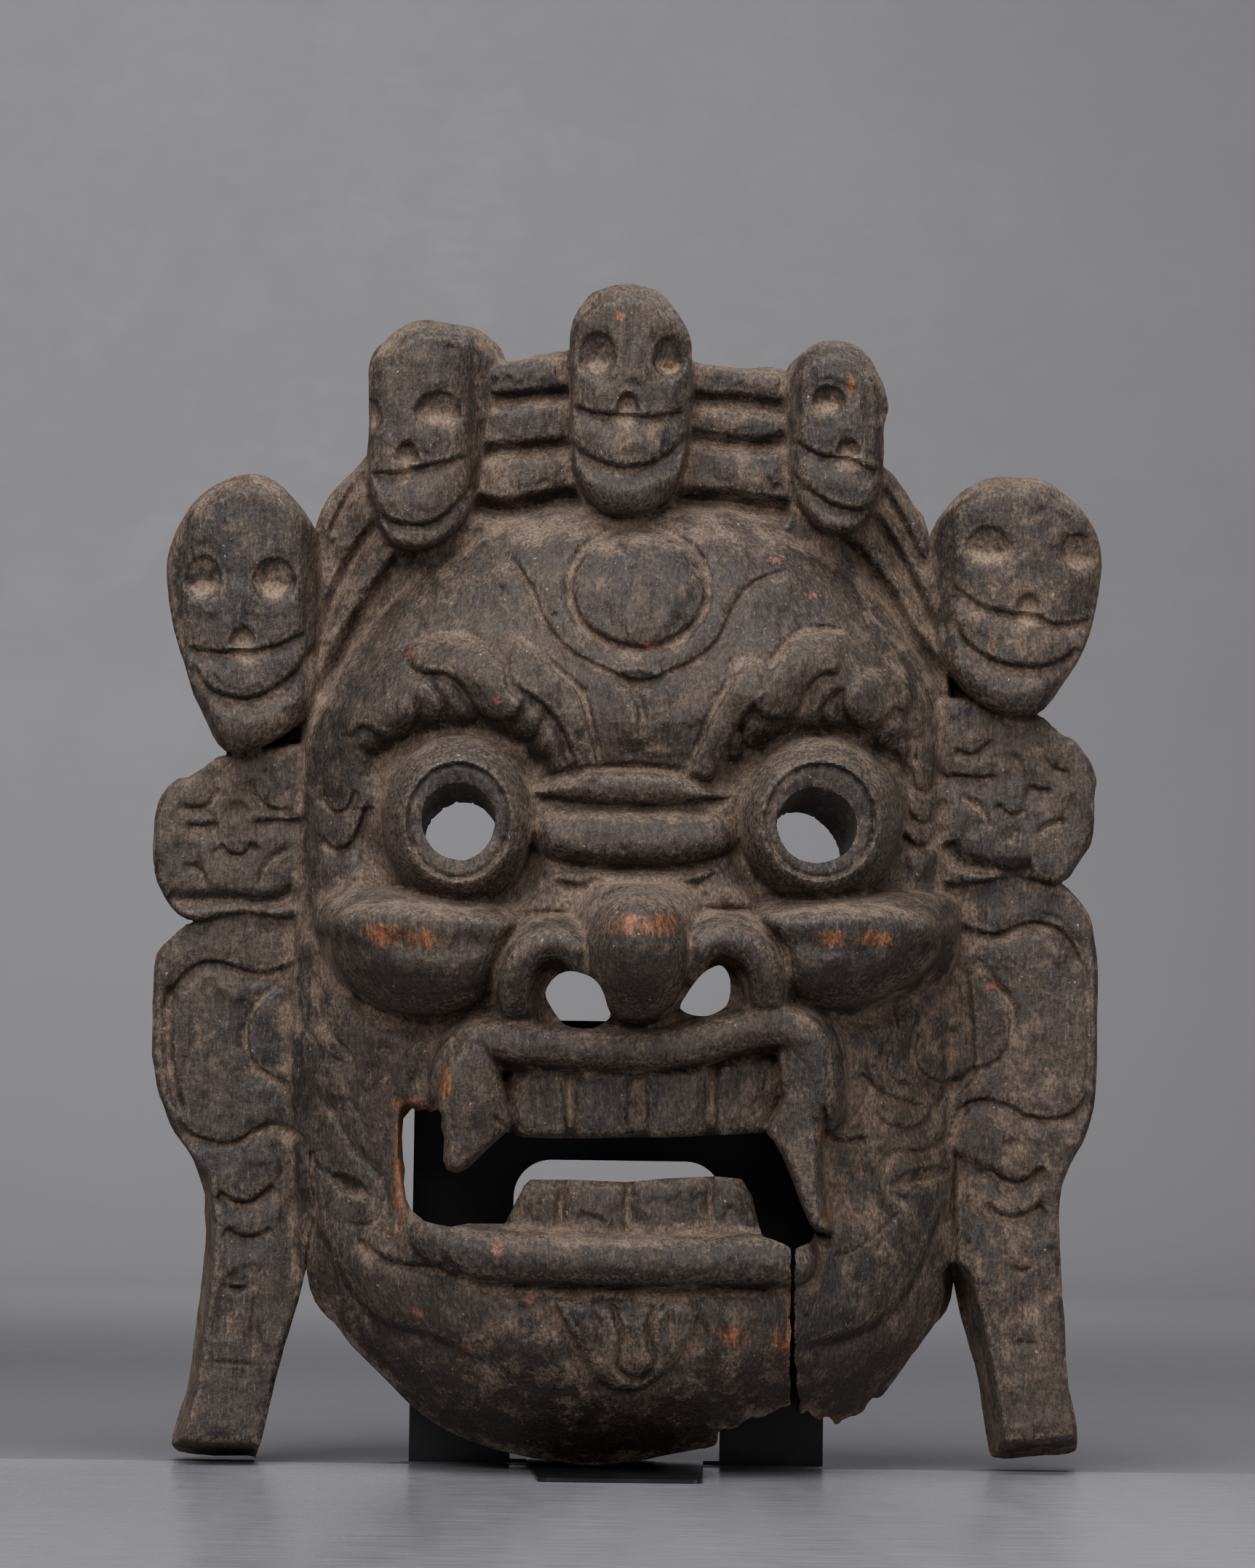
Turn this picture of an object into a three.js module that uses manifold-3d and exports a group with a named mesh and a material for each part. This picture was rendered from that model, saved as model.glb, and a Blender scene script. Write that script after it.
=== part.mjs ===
// Carved wooden dance mask on a bent sheet-steel stand. Millimetres, +Z up, face towards -Y.
// The front is a relief: a height field built from named forms and cuts, then trimmed to its outline.
import * as THREE from 'three';
import * as BufferGeometryUtils from 'three/addons/utils/BufferGeometryUtils.js';
import Module from 'manifold-3d';

const wasm = await Module();
wasm.setup();

// Driving dimensions
const FACE_WALL = 17;
const CROWN_THINNING = 36;
const EYE_X = -40.8;
const EYE_Z = 115.5;
const EYE_DISTANCE = 1944.7;
const CELL = 1.75;
const GRID = 257;
const FIELD_LEFT = -224;
const FIELD_BOTTOM = -3;
const FRONT_TOLERANCE = 2.6;
const BACK_TOLERANCE = 5;
const SHEET = 1.5;
const GAP = 0.3;
const STAND = { left: -74.5, right: 79.5, top: 164.5, windowLeft: -37, windowRight: 41, windowTop: 112.5 };
const WINDOW_CORNER = 14;
const FOOT = { left: -31, right: 35, tipLeft: -27.5, tipRight: 30.5, length: 112, corner: 5 };

// Every position is drawn on the plane of the back rim as the eye in front of the mask sees it.
// A point that stands d millimetres forward is pulled towards the eye by this rule.
function place(x, d, z) {
  const k = 1 - d / EYE_DISTANCE;
  return [EYE_X + (x - EYE_X) * k, -d, EYE_Z + (z - EYE_Z) * k];
}

// Small helpers
const clamp = (v, lo, hi) => Math.min(hi, Math.max(lo, v));
const clamp01 = (v) => clamp(v, 0, 1);
const smooth = (v, lo, hi) => {
  const t = clamp01((v - lo) / (hi - lo));
  return t * t * (3 - 2 * t);
};
const smoothMax = (a, b, k) => {
  const h = clamp01(0.5 + 0.5 * (a - b) / k);
  return b + (a - b) * h + k * h * (1 - h);
};
// Value between the knots [place, value] of a short table.
function between(table, v) {
  if (v <= table[0][0]) return table[0][1];
  for (let i = 1; i < table.length; i++) {
    if (v <= table[i][0]) {
      const t = (v - table[i - 1][0]) / (table[i][0] - table[i - 1][0]);
      const s = t * t * (3 - 2 * t) * 0.4 + t * 0.6;
      return table[i - 1][1] + (table[i][1] - table[i - 1][1]) * s;
    }
  }
  return table[table.length - 1][1];
}
// Smooth curve through a few points.
function curve(points, closed = false, steps = 5) {
  const n = points.length;
  const out = [];
  const spans = closed ? n : n - 1;
  for (let i = 0; i < spans; i++) {
    const at = (k) => (closed ? points[(k + n) % n] : points[clamp(k, 0, n - 1)]);
    const [a, b, c, d] = [at(i - 1), at(i), at(i + 1), at(i + 2)];
    for (let s = 0; s < steps; s++) {
      const t = s / steps;
      const mix = (j) => 0.5 * (2 * b[j] + (c[j] - a[j]) * t
        + (2 * a[j] - 5 * b[j] + 4 * c[j] - d[j]) * t * t
        + (3 * b[j] - a[j] - 3 * c[j] + d[j]) * t * t * t);
      out.push([mix(0), mix(1)]);
    }
  }
  if (!closed) out.push(points[n - 1]);
  return out;
}

// Height field of the front
const H = new Float64Array(GRID * GRID);
const gridX = (j) => FIELD_LEFT + j * CELL;
const gridZ = (i) => FIELD_BOTTOM + i * CELL;

// Runs fn(x, z, cell) over the cells of a box.
function over(x0, x1, z0, z1, fn) {
  const j0 = clamp(Math.ceil((x0 - FIELD_LEFT) / CELL), 0, GRID - 1);
  const j1 = clamp(Math.floor((x1 - FIELD_LEFT) / CELL), 0, GRID - 1);
  const i0 = clamp(Math.ceil((z0 - FIELD_BOTTOM) / CELL), 0, GRID - 1);
  const i1 = clamp(Math.floor((z1 - FIELD_BOTTOM) / CELL), 0, GRID - 1);
  for (let i = i0; i <= i1; i++) {
    for (let j = j0; j <= j1; j++) fn(gridX(j), gridZ(i), i * GRID + j);
  }
}
function boxOf(points, margin) {
  const xs = points.map((p) => p[0]);
  const zs = points.map((p) => p[1]);
  return [Math.min(...xs) - margin, Math.max(...xs) + margin, Math.min(...zs) - margin, Math.max(...zs) + margin];
}
// Distance from a point to a line of points, with the side and how far along it lies.
function nearest(line, x, z, closed = false) {
  let best = Infinity;
  let side = 1;
  let along = 0;
  const n = closed ? line.length : line.length - 1;
  for (let i = 0; i < n; i++) {
    const a = line[i];
    const b = line[(i + 1) % line.length];
    const dx = b[0] - a[0];
    const dz = b[1] - a[1];
    const t = clamp01(((x - a[0]) * dx + (z - a[1]) * dz) / (dx * dx + dz * dz + 1e-9));
    const ex = x - a[0] - t * dx;
    const ez = z - a[1] - t * dz;
    const d = ex * ex + ez * ez;
    if (d < best) {
      best = d;
      side = Math.sign(dx * (z - a[1]) - dz * (x - a[0]));
      along = (i + t) / n;
    }
  }
  return { d: Math.sqrt(best), side, along };
}
// Depth inside a closed line, negative outside.
function inside(line, x, z) {
  let odd = false;
  for (let i = 0; i < line.length; i++) {
    const [x1, z1] = line[i];
    const [x2, z2] = line[(i + 1) % line.length];
    if ((z1 > z) !== (z2 > z) && x < (x2 - x1) * (z - z1) / (z2 - z1) + x1) odd = !odd;
  }
  const { d } = nearest(line, x, z, true);
  return odd ? d : -d;
}

// Relief tools: each one changes the height field round its own form.
// A swelling that keeps the slope of what it stands on.
function puff(points, height, round) {
  const line = curve(points, true);
  over(...boxOf(line, 1), (x, z, c) => {
    const s = clamp01(inside(line, x, z) / round);
    H[c] += height * Math.sqrt(1 - (1 - s) ** 2);
  });
}
// A slab with its own top and a rounded edge.
function pad(points, top, round, drop) {
  const line = curve(points, true);
  over(...boxOf(line, 1), (x, z, c) => {
    const s = inside(line, x, z);
    if (s <= 0) return;
    const q = clamp01(s / round);
    const t = top(x, z) - drop * (1 - Math.sqrt(1 - (1 - q) ** 2));
    H[c] = Math.max(H[c], t);
  });
}
// A slanted edge: the surface falls to low at the line and is whole again at the width.
function bevel(points, width, low) {
  const line = curve(points);
  over(...boxOf(line, width), (x, z, c) => {
    const { d } = nearest(line, x, z);
    if (d < width && H[c] > low) H[c] = low + (H[c] - low) * d / width;
  });
}
// A groove along a curve.
function groove(points, width, depth) {
  const line = curve(points);
  over(...boxOf(line, width + 1), (x, z, c) => {
    const { d, along } = nearest(line, x, z);
    const k = clamp01(Math.min(along, 1 - along) / 0.1 + 0.2);
    const q = clamp01(1 - d / width);
    H[c] -= depth * k * q * q * (3 - 2 * q);
  });
}
// A step down on one side of a curve that runs out with distance.
function step(points, side, drop, run, region = null) {
  const line = curve(points);
  over(...boxOf(line, run), (x, z, c) => {
    const n = nearest(line, x, z);
    if (n.side * side <= 0) return;
    const edge = region ? clamp01(inside(region, x, z) / 2.5) : 1;
    const k = clamp01(Math.min(n.along, 1 - n.along) / 0.08 + 0.15);
    const rise = clamp01(n.d / 0.9);
    const fall = clamp01(1 - (n.d - 0.9) / run) ** 1.5;
    H[c] -= drop * edge * k * rise * fall;
  });
}
// A broad swell, or with a negative height a hollow, along a curve.
function swell(points, width, height) {
  const line = curve(points);
  over(...boxOf(line, width * 1.6), (x, z, c) => {
    const { d, along } = nearest(line, x, z);
    const k = clamp01(Math.min(along, 1 - along) / 0.18 + 0.35);
    H[c] += height * k * Math.exp(-1.6 * (d / width) ** 2);
  });
}
// A bar of round section along a curve, with its top heights spread along it.
function roll(points, radius, tops, blend) {
  const line = curve(points);
  over(...boxOf(line, radius + 2), (x, z, c) => {
    const { d, along } = nearest(line, x, z);
    const at = along * (tops.length - 1);
    const i = Math.min(Math.floor(at), tops.length - 2);
    const top = tops[i] + (tops[i + 1] - tops[i]) * (at - i);
    const t = d < radius ? Math.sqrt(radius * radius - d * d) : -8 * (d - radius);
    H[c] = smoothMax(H[c], top - radius + t, blend);
  });
}
// A rounded knob that reaches top and falls by drop to its edge.
function knob(cx, cz, rx, rz, top, drop, blend, turn = 0) {
  const ca = Math.cos(turn);
  const sa = Math.sin(turn);
  const reach = Math.max(rx, rz) + 2;
  over(cx - reach, cx + reach, cz - reach, cz + reach, (x, z, c) => {
    const u = ((x - cx) * ca + (z - cz) * sa) / rx;
    const v = ((z - cz) * ca - (x - cx) * sa) / rz;
    const r = Math.hypot(u, v);
    const t = r < 1 ? top - drop * (1 - Math.sqrt(1 - r * r)) : top - drop - 60 * (r - 1);
    H[c] = smoothMax(H[c], t, blend);
  });
}
// A rounded scoop, or with a positive height a low mound.
function scoop(cx, cz, rx, rz, height, turn = 0, power = 0.8) {
  const ca = Math.cos(turn);
  const sa = Math.sin(turn);
  const reach = Math.max(rx, rz);
  over(cx - reach, cx + reach, cz - reach, cz + reach, (x, z, c) => {
    const u = ((x - cx) * ca + (z - cz) * sa) / rx;
    const v = ((z - cz) * ca - (x - cx) * sa) / rz;
    H[c] += height * clamp01(1 - u * u - v * v) ** power;
  });
}

// Outlines
const LOBE_LEFT = [[-118, 206], [-140, 204.5], [-157, 200.5], [-166, 194], [-172, 185], [-173.5, 160], [-171, 140],
  [-165, 124], [-154, 104], [-151.5, 85], [-153, 60], [-157, 28], [-162, 9], [-160, 3], [-152, 1.6], [-134, 1.4],
  [-130, 3], [-123, 36], [-113.5, 71], [-112, 120]];
const LOBE_RIGHT = [[124, 222], [148, 223], [165, 219.5], [176, 209], [180.5, 195], [181.5, 165], [180.5, 138],
  [176, 123], [169, 108], [167, 90], [168.5, 65], [171, 35], [174.5, 12], [172, 6.5], [160, 5], [145, 4],
  [141, 9], [137, 34], [128, 69.5], [125, 120]];
const ROSETTE_LEFT = [[-116, 263], [-145, 262.5], [-153, 259.5], [-160, 254], [-167, 251.5], [-172, 244],
  [-174.5, 232], [-173, 218], [-168, 206.5], [-158.5, 199.5], [-140, 203], [-114, 205]];
const ROSETTE_RIGHT = [[118, 283], [150, 284.5], [158.5, 281.5], [165, 276], [173, 271], [178.5, 262], [179.5, 250],
  [178, 236], [173, 226], [165.5, 218.5], [150, 221], [118, 222]];
const CROWN_BAND = [[-115, 350], [-99, 373], [-80, 395], [-56, 410.5], [-40, 413.5], [-20, 417.5], [0, 418],
  [25, 414], [45, 411.5], [62, 410], [85, 390], [98.5, 375.5], [104, 370], [109.5, 361], [116, 349.5], [124, 300],
  [122, 230], [60, 250], [-60, 250], [-116, 220], [-119, 290]];
// Recessed wood between skull, rosette and face
const HOLLOW_LEFT = [[-143, 259], [-140, 274], [-120, 302], [-104, 322], [-98, 290], [-102, 257]];
const HOLLOW_RIGHT = [[110, 272], [110, 318], [122, 320], [132, 296], [152, 288], [152, 276]];
const FACE = [[-113, 150], [-113.5, 71], [-100.5, 48], [-83, 29.5], [-66, 14.5], [-45, 5.5], [-24, 1.2], [-8, -0.6],
  [3, -0.6], [20, 3.5], [38, 7], [42, 13], [55, 18], [68.5, 22.5], [73, 18.5], [87, 16.5], [103, 28.5], [117, 48],
  [127.5, 70], [127, 150], [125, 300], [60, 350], [-60, 350], [-118, 290]];
const SKULLS = [
  { outline: [[-20.5, 410], [-20.5, 427], [-14, 438], [-4, 443], [4, 443.5], [14, 439], [23, 427], [25.3, 415],
    [24.5, 385], [21, 368], [13, 358], [2, 355], [-9, 357.5], [-17, 368], [-20, 385]],
    top: 84, middle: 1.5, half: 22, bend: 9, crown: 438, chin: 360,
    sockets: [[-11, 415.5, 6.8, 9], [16, 414.5, 6, 8.5]], nose: [1, 397.5, 4.5, 5],
    cut: [[-20, 398], [-14, 395], [-7, 394], [1, 395.5], [8, 393], [15, 393.5], [23, 397]],
    smile: [[-20, 386], [-14, 380], [-7, 376.5], [2, 375], [10, 376.5], [17, 381], [24, 391]] },
  { outline: [[-96, 390], [-96, 411], [-90, 420.5], [-78, 427.5], [-64, 426.5], [-53, 423], [-45, 414], [-46, 404],
    [-52, 380], [-56, 358], [-66, 345], [-78, 340.5], [-89, 345], [-95.5, 365]],
    top: 77, middle: -79, half: 17, bend: 6, crown: 423, chin: 346,
    sockets: [[-70.5, 393, 8.3, 8.5], [-95, 390, 3.2, 7]], nose: [-82, 376.5, 4, 5.5],
    cut: [[-97, 369], [-90, 369], [-85, 371], [-78, 373.5], [-71, 374], [-65, 376], [-59, 378]],
    smile: [[-96, 361], [-91, 356], [-85, 353], [-78, 352], [-72, 353], [-66, 357], [-56, 369]] },
  { outline: [[61, 390], [60.5, 409], [67, 418], [77, 423], [88, 420.5], [96, 411], [99.5, 399], [98.3, 390],
    [98.5, 378], [96, 363], [90, 352.5], [81, 349], [72, 353], [64, 366]],
    top: 77, middle: 81, half: 17, bend: 6, crown: 419, chin: 353,
    sockets: [[77.5, 400, 7.2, 6.8], [98.5, 396, 3, 5]], nose: [89, 380.5, 3.6, 3.6],
    cut: [[64, 386], [71, 382.5], [78, 380.5], [85, 379], [90, 377], [98, 375.5]],
    smile: [[61, 375], [65, 371.5], [70, 367.5], [75, 364], [81, 362], [88, 361.5], [98, 369]] },
  { outline: [[-171, 332], [-167, 348], [-157, 361.5], [-141, 368.5], [-129, 364.5], [-115, 347], [-112, 320],
    [-111, 292], [-120, 274], [-145, 262.5], [-158, 281], [-166.5, 305]],
    top: 60, middle: -144, half: 26, bend: 9, crown: 362, chin: 266,
    sockets: [[-158.5, 328, 7.2, 9], [-130.5, 328, 8.7, 9.5]], nose: [-144, 309, 4.2, 4.5],
    cut: [[-166, 306], [-160, 302.5], [-152, 301.5], [-144, 304], [-136, 303.5], [-128, 306], [-119, 313]],
    smile: [[-167, 300], [-162, 292], [-156, 287], [-150, 284.5], [-141, 284], [-133, 287], [-120, 303]] },
  { outline: [[115.5, 335], [116.5, 350.5], [126, 364.5], [137, 371], [150, 372], [162, 369.5], [175, 358],
    [181.5, 343], [176.5, 312], [166, 292], [156, 282], [138, 284], [124, 297], [117, 315]],
    top: 62, middle: 150, half: 30, bend: 10, crown: 366, chin: 286,
    sockets: [[138, 343.5, 9, 7], [171.5, 341.5, 7.3, 8.5]], nose: [153.5, 324, 5, 4],
    cut: [[123, 334], [131, 326], [137, 323.5], [145, 321.5], [153, 322.5], [158, 319.5], [165, 317.5], [180, 321]],
    smile: [[122, 324], [130, 311], [137, 305.5], [145, 302.5], [152, 301.5], [160, 302.5], [175, 312]] },
];

// Face shield: left and right edge, front depth on the middle line and depth at the edge, by height
const LEFT_EDGE = [[0, -60], [12, -78], [30, -97], [48, -110], [72, -121], [150, -123], [270, -120], [293, -110],
  [318, -92], [332, -80], [347, -64], [356, -45], [380, -45]];
const RIGHT_EDGE = [[0, 62], [12, 88], [30, 108], [48, 122], [72, 128], [150, 127], [290, 122], [303, 116], [318, 104],
  [332, 92], [347, 76], [356, 60], [380, 60]];
const MIDDLE_DEPTH = [[-3, 46], [1, 56], [6, 66], [14, 78], [25, 90], [40, 101], [55, 105], [80, 103], [100, 96],
  [130, 98], [150, 102], [180, 104], [210, 102], [240, 97], [262, 99], [280, 101], [300, 97], [330, 89], [345, 80],
  [356, 66], [364, 55], [450, 50]];
const EDGE_DEPTH = [[-3, 4], [20, 14], [60, 26], [90, 32], [150, 36], [250, 38], [450, 38]];

function carveGround() {
  const band = curve(CROWN_BAND, true);
  over(FIELD_LEFT, -FIELD_LEFT, FIELD_BOTTOM, 450, (x, z, c) => {
    H[c] = 30;
    if (z > 215) {
      const s = inside(band, x, z);
      const top = 44 + 14 * smooth(-Math.abs(x), -110, -60) - 7 * (1 - Math.sqrt(1 - (1 - clamp01(s / 8)) ** 2));
      if (s > 0) H[c] = Math.max(H[c], top);
    }
    const left = between(LEFT_EDGE, z);
    const right = between(RIGHT_EDGE, z);
    const q = Math.abs(x - (left + right) / 2) / ((right - left) / 2);
    if (q < 1 && z < 358) {
      const rim = between(EDGE_DEPTH, z);
      const top = rim + (between(MIDDLE_DEPTH, z) - rim) * (1 - q ** 2.6) ** 0.6;
      H[c] = z > 100 ? Math.max(H[c], top) : top;
    }
  });
}

function carveCrown() {
  const ribs = [[[[-60, 397], [-52, 399], [-35, 401.5], [-18, 403.5]], 4.2, 8],
    [[[-60, 379], [-50, 381], [-35, 383], [-18, 385.5]], 4.2, 8],
    [[[-62, 358], [-50, 358.5], [-35, 361], [-18, 365]], 5.5, 11],
    [[[23, 402.5], [35, 402.5], [48, 401.5], [62, 399]], 4.2, 8],
    [[[23, 387], [35, 386.5], [48, 385], [62, 383.5]], 4.2, 8],
    [[[23, 366], [35, 365], [48, 363], [62, 362]], 6, 10],
    [[[-90, 356], [-95, 347], [-101, 337], [-107, 324], [-112, 308], [-114, 290]], 4, 5],
    [[[-62, 351], [-76, 340], [-87, 326], [-96, 310], [-103, 294], [-110, 276]], 6, 7],
    [[[96, 369], [103, 357], [110, 345], [115, 330], [118, 318]], 3.5, 4],
    [[[92, 356], [100, 345], [107, 335], [113, 322], [119, 308]], 3.5, 5],
    [[[64, 360], [74, 349], [86, 338], [97, 325], [108, 310], [117, 298], [122, 285]], 6, 7],
    [[[-119, 352], [-119.5, 335], [-119, 315], [-118, 298]], 3.5, 5],
    [[[119, 352], [121, 338], [121, 322], [120, 305]], 3.5, 5]];
  for (const [path, width, depth] of ribs) groove(path, width, depth);
}

function carveSkull(s) {
  const line = curve(s.outline, true);
  over(...boxOf(line, 1), (x, z, c) => {
    const d = inside(line, x, z);
    if (d <= 0) return;
    let top = s.top - s.bend * clamp(Math.abs(x - s.middle) / s.half, 0, 1.2) ** 2.6;
    top -= 7 * Math.max(0, (z - s.crown + 16) / 16) ** 2;
    top -= 9 * Math.max(0, (s.chin + 9 - z) / 9) ** 1.6;
    top -= 8 * (1 - Math.sqrt(1 - (1 - clamp01(d / 7)) ** 2));
    H[c] = Math.max(H[c], top);
  });
  for (const [cx, cz, rx, rz] of s.sockets) {
    over(cx - rx, cx + rx, cz - rz, cz + rz, (x, z, c) => {
      const v = (z - cz) / rz;
      const r = Math.hypot((x - cx) / rx, v);
      H[c] -= 7 * clamp01((1 + v) / 0.75) * clamp01((1 - r) / 0.22) ** 0.5;
    });
  }
  const [nx, nz, nrx, nrz] = s.nose;
  over(nx - nrx, nx + nrx, nz - nrz - 3, nz + nrz, (x, z, c) => {
    const v = (z - nz) / nrz;
    const r = Math.hypot((x - nx) / nrx, v > 0 ? v : v / 2);
    H[c] -= 5.5 * clamp01((1 - r) / 0.3) ** 0.5;
  });
  step(s.cut, -1, 5, 11, line);
  step(s.smile, -1, 5.5, 10, line);
}

function carveSides() {
  pad(ROSETTE_LEFT, () => 47, 7, 8);
  pad(ROSETTE_RIGHT, () => 49, 7, 8);
  const petals = [[[-163, 244], [-157, 243.5], [-152, 246.5], [-149, 252]],
    [[-137, 253], [-134.5, 247.5], [-130, 244], [-124, 243]], [[-164, 222], [-158, 222], [-154, 217], [-153, 212]],
    [[-132.5, 214], [-131.5, 220], [-127, 224], [-122, 227]], [[127, 270.5], [131, 268], [136, 269], [139.5, 275]],
    [[160, 268], [163, 264], [169, 261.5]], [[127, 248], [133, 246], [137, 242], [139, 237]],
    [[160, 236.5], [165, 240], [170, 240]]];
  for (const path of petals) groove(path, 2.8, 3);
  const bars = [[-157, 232, 7.5, 4.2], [-127, 234.5, 13, 4], [-144.5, 242, 4.2, 4], [-145, 220, 3.8, 6],
    [129, 255.5, 10, 3.6], [160, 254, 6, 4], [148, 265, 3, 5], [147, 238, 3.5, 6]];
  for (const [cx, cz, rx, rz] of bars) scoop(cx, cz, rx, rz, -3, 0, 0.6);
  pad(LOBE_LEFT, () => 43, 5, 6);
  pad(LOBE_RIGHT, () => 43, 5, 6);
  bevel([[128, 69.5], [131, 60], [134.5, 45], [137.5, 30], [141, 10]], 6.5, 12);
  bevel([[-154, 104], [-151.5, 85], [-153, 60], [-157, 28], [-162, 9]], 3.5, 14);
  bevel([[141, 8], [145, 4], [160, 5], [172, 6.5]], 6, 18);
  bevel([[-160, 3], [-152, 1.6], [-134, 1.4]], 3.5, 18);
  step([[-170, 172], [-161, 182.5], [-149, 186.5], [-136, 182], [-122, 185], [-115, 188]], -1, 5, 16);
  step([[-164, 121], [-157, 117.5], [-150, 116], [-143, 118], [-136, 122], [-130, 123.5], [-117, 120]], -1, 4.5, 14);
  step([[123, 208], [130, 202.5], [143, 200.5], [156, 205], [168, 200], [174, 193]], -1, 5, 16);
  step([[128, 133], [135, 137.5], [142, 138], [150, 134], [158, 131.5], [168, 131.5], [177, 137]], -1, 4.5, 14);
  groove([[-166, 177], [-169, 165], [-168, 150], [-160, 127], [-155, 121]], 3, 2.6);
  groove([[173, 194], [178, 170], [178.5, 152], [177, 143]], 3, 2.6);
  groove([[-121, 179], [-134, 171], [-139, 157], [-129, 141], [-119, 139.5]], 2.6, 2.4);
  groove([[134, 184], [145, 176], [148, 164], [142, 151], [134, 149]], 2.6, 2.4);
  for (const [cx, cz, w] of [[-138, 96, 17], [-136.5, 83.5, 13.5], [150, 111, 17], [150, 97, 16]]) {
    step([[cx - w / 2, cz + 4], [cx - w / 4, cz + 1], [cx, cz], [cx + w / 4, cz + 1], [cx + w / 2, cz + 4]], -1, 3.6, 7);
  }
  scoop(-139, 62, 6, 3.5, -3);
  scoop(152, 73, 6, 3.5, -3);
}

const TUBES = [{ x: -60, z: 238.5, rx: 20.2, rz: 22.6 }, { x: 75, z: 239.5, rx: 21, rz: 23.4 }];

function carveEyes() {
  swell([[-104, 268], [-92, 280], [-75, 292], [-58, 296], [-42, 290], [-28, 276]], 17, 8);
  swell([[112, 272], [100, 284], [85, 296], [70, 298], [55, 292], [42, 278]], 17, 8);
  swell([[-96, 252], [-88, 264], [-75, 271], [-60, 273], [-45, 270], [-33, 262], [-26, 252]], 8, -9);
  swell([[107, 254], [100, 264], [88, 270], [74, 272], [58, 270], [46, 264], [38, 254]], 8, -9);
  swell([[-92, 240], [-91, 222], [-80, 208], [-62, 202], [-44, 206], [-34, 220], [-33, 240]], 7, -9);
  swell([[106, 240], [104, 222], [92, 209], [76, 205], [60, 208], [48, 222], [46, 240]], 7, -9);
  swell([[6, 300], [6, 285], [7, 268]], 14, 4);
  over(-30, 40, 300, 356, (x, z, c) => {
    const r = Math.hypot((x - 5) / 25, (z - 328) / 22.5);
    if (r < 1) H[c] += 4.5 * Math.sqrt(1 - r * r);
    H[c] -= 3.2 * Math.exp(-(((r - 1.02) / 0.085) ** 2));
  });
  groove([[-47, 341], [-38, 335], [-28, 315], [-12, 301], [3, 293], [9, 277], [9, 271]], 3, 2.4);
  groove([[63, 338], [53, 334], [46, 326], [36, 308], [19, 299], [2, 296]], 3, 2.4);
  puff([[-79, 303], [-72, 307], [-64, 308], [-48, 301], [-40, 288], [-37, 283], [-47, 277.5], [-53, 281], [-63, 292.5],
    [-76, 297]], 4.2, 5);
  puff([[82, 312], [75, 311.5], [62, 303], [53, 290], [50.5, 285], [60, 279.5], [69, 286], [77, 297]], 4.2, 5);
  puff([[-39, 309], [-22, 293], [-12, 270], [-9, 256], [-15, 256], [-24, 277], [-36, 288]], 3.6, 5);
  puff([[48, 304], [38, 288], [26, 262], [24, 257], [34, 255], [41, 268], [51, 284]], 3.6, 5);
  puff([[-103, 272], [-99, 279], [-92, 284], [-78, 283], [-80, 272.5], [-92, 273]], 4.6, 6);
  puff([[88, 296], [95, 299], [108, 291], [101, 281], [92, 276], [84.5, 285]], 4.6, 6);
  for (const t of TUBES) {
    over(t.x - 32, t.x + 32, t.z - 35, t.z + 35, (x, z, c) => {
      const r = Math.hypot((x - t.x) / t.rx, (z - t.z) / t.rz);
      if (r >= 1.42) return;
      const front = 113.5 - 0.055 * Math.abs(t.x) - 0.1 * Math.sign(t.x) * (x - t.x);
      const top = r < 1 ? front - r * r : front - 1 - 13 * ((r - 1) / 0.33) ** 1.35;
      H[c] = smoothMax(H[c], top, 2.5) - 2.6 * Math.exp(-(((r - 0.985) / 0.055) ** 2));
    });
  }
}

function carveNose() {
  puff([[-30, 249], [-5, 258], [24, 257], [41, 249], [10, 246], [-10, 246.5]], 5, 5);
  puff([[-31, 234], [-28, 241], [-15, 244.5], [25, 244.5], [38, 243], [43, 236], [40, 228], [25, 223], [-15, 222.5],
    [-27, 226]], 10, 11);
  puff([[-24, 217], [-14, 221.5], [25, 221], [36, 219], [26, 215.5], [-14, 214]], 3.5, 4);
  groove([[-32, 247], [-10, 246], [6, 245.5], [25, 246.5], [42, 249]], 3, 3.2);
  knob(-72, 190, 37, 20, 119, 24, 3, -0.07);
  knob(84, 193, 37, 20, 119, 24, 3, 0.07);
  roll([[-24, 176], [-33, 181], [-32, 190], [-23, 194], [-14, 189], [-9, 180]], 7, [128, 128], 3);
  roll([[54, 172], [52, 184], [44, 194], [35, 194], [29, 186]], 7, [128, 128], 3);
  knob(7, 199, 19, 16, 146, 24, 4);
  knob(7, 190, 20.5, 24, 150, 34, 5);
  swell([[-92, 170], [-78, 163], [-62, 161], [-50, 166]], 7, -8);
  swell([[104, 176], [92, 169], [80, 166], [70, 170]], 7, -8);
}

const UPPER_TEETH = [-17, 8.5, 36.5];
const LOWER_TEETH = [-20, 6, 31];

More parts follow.
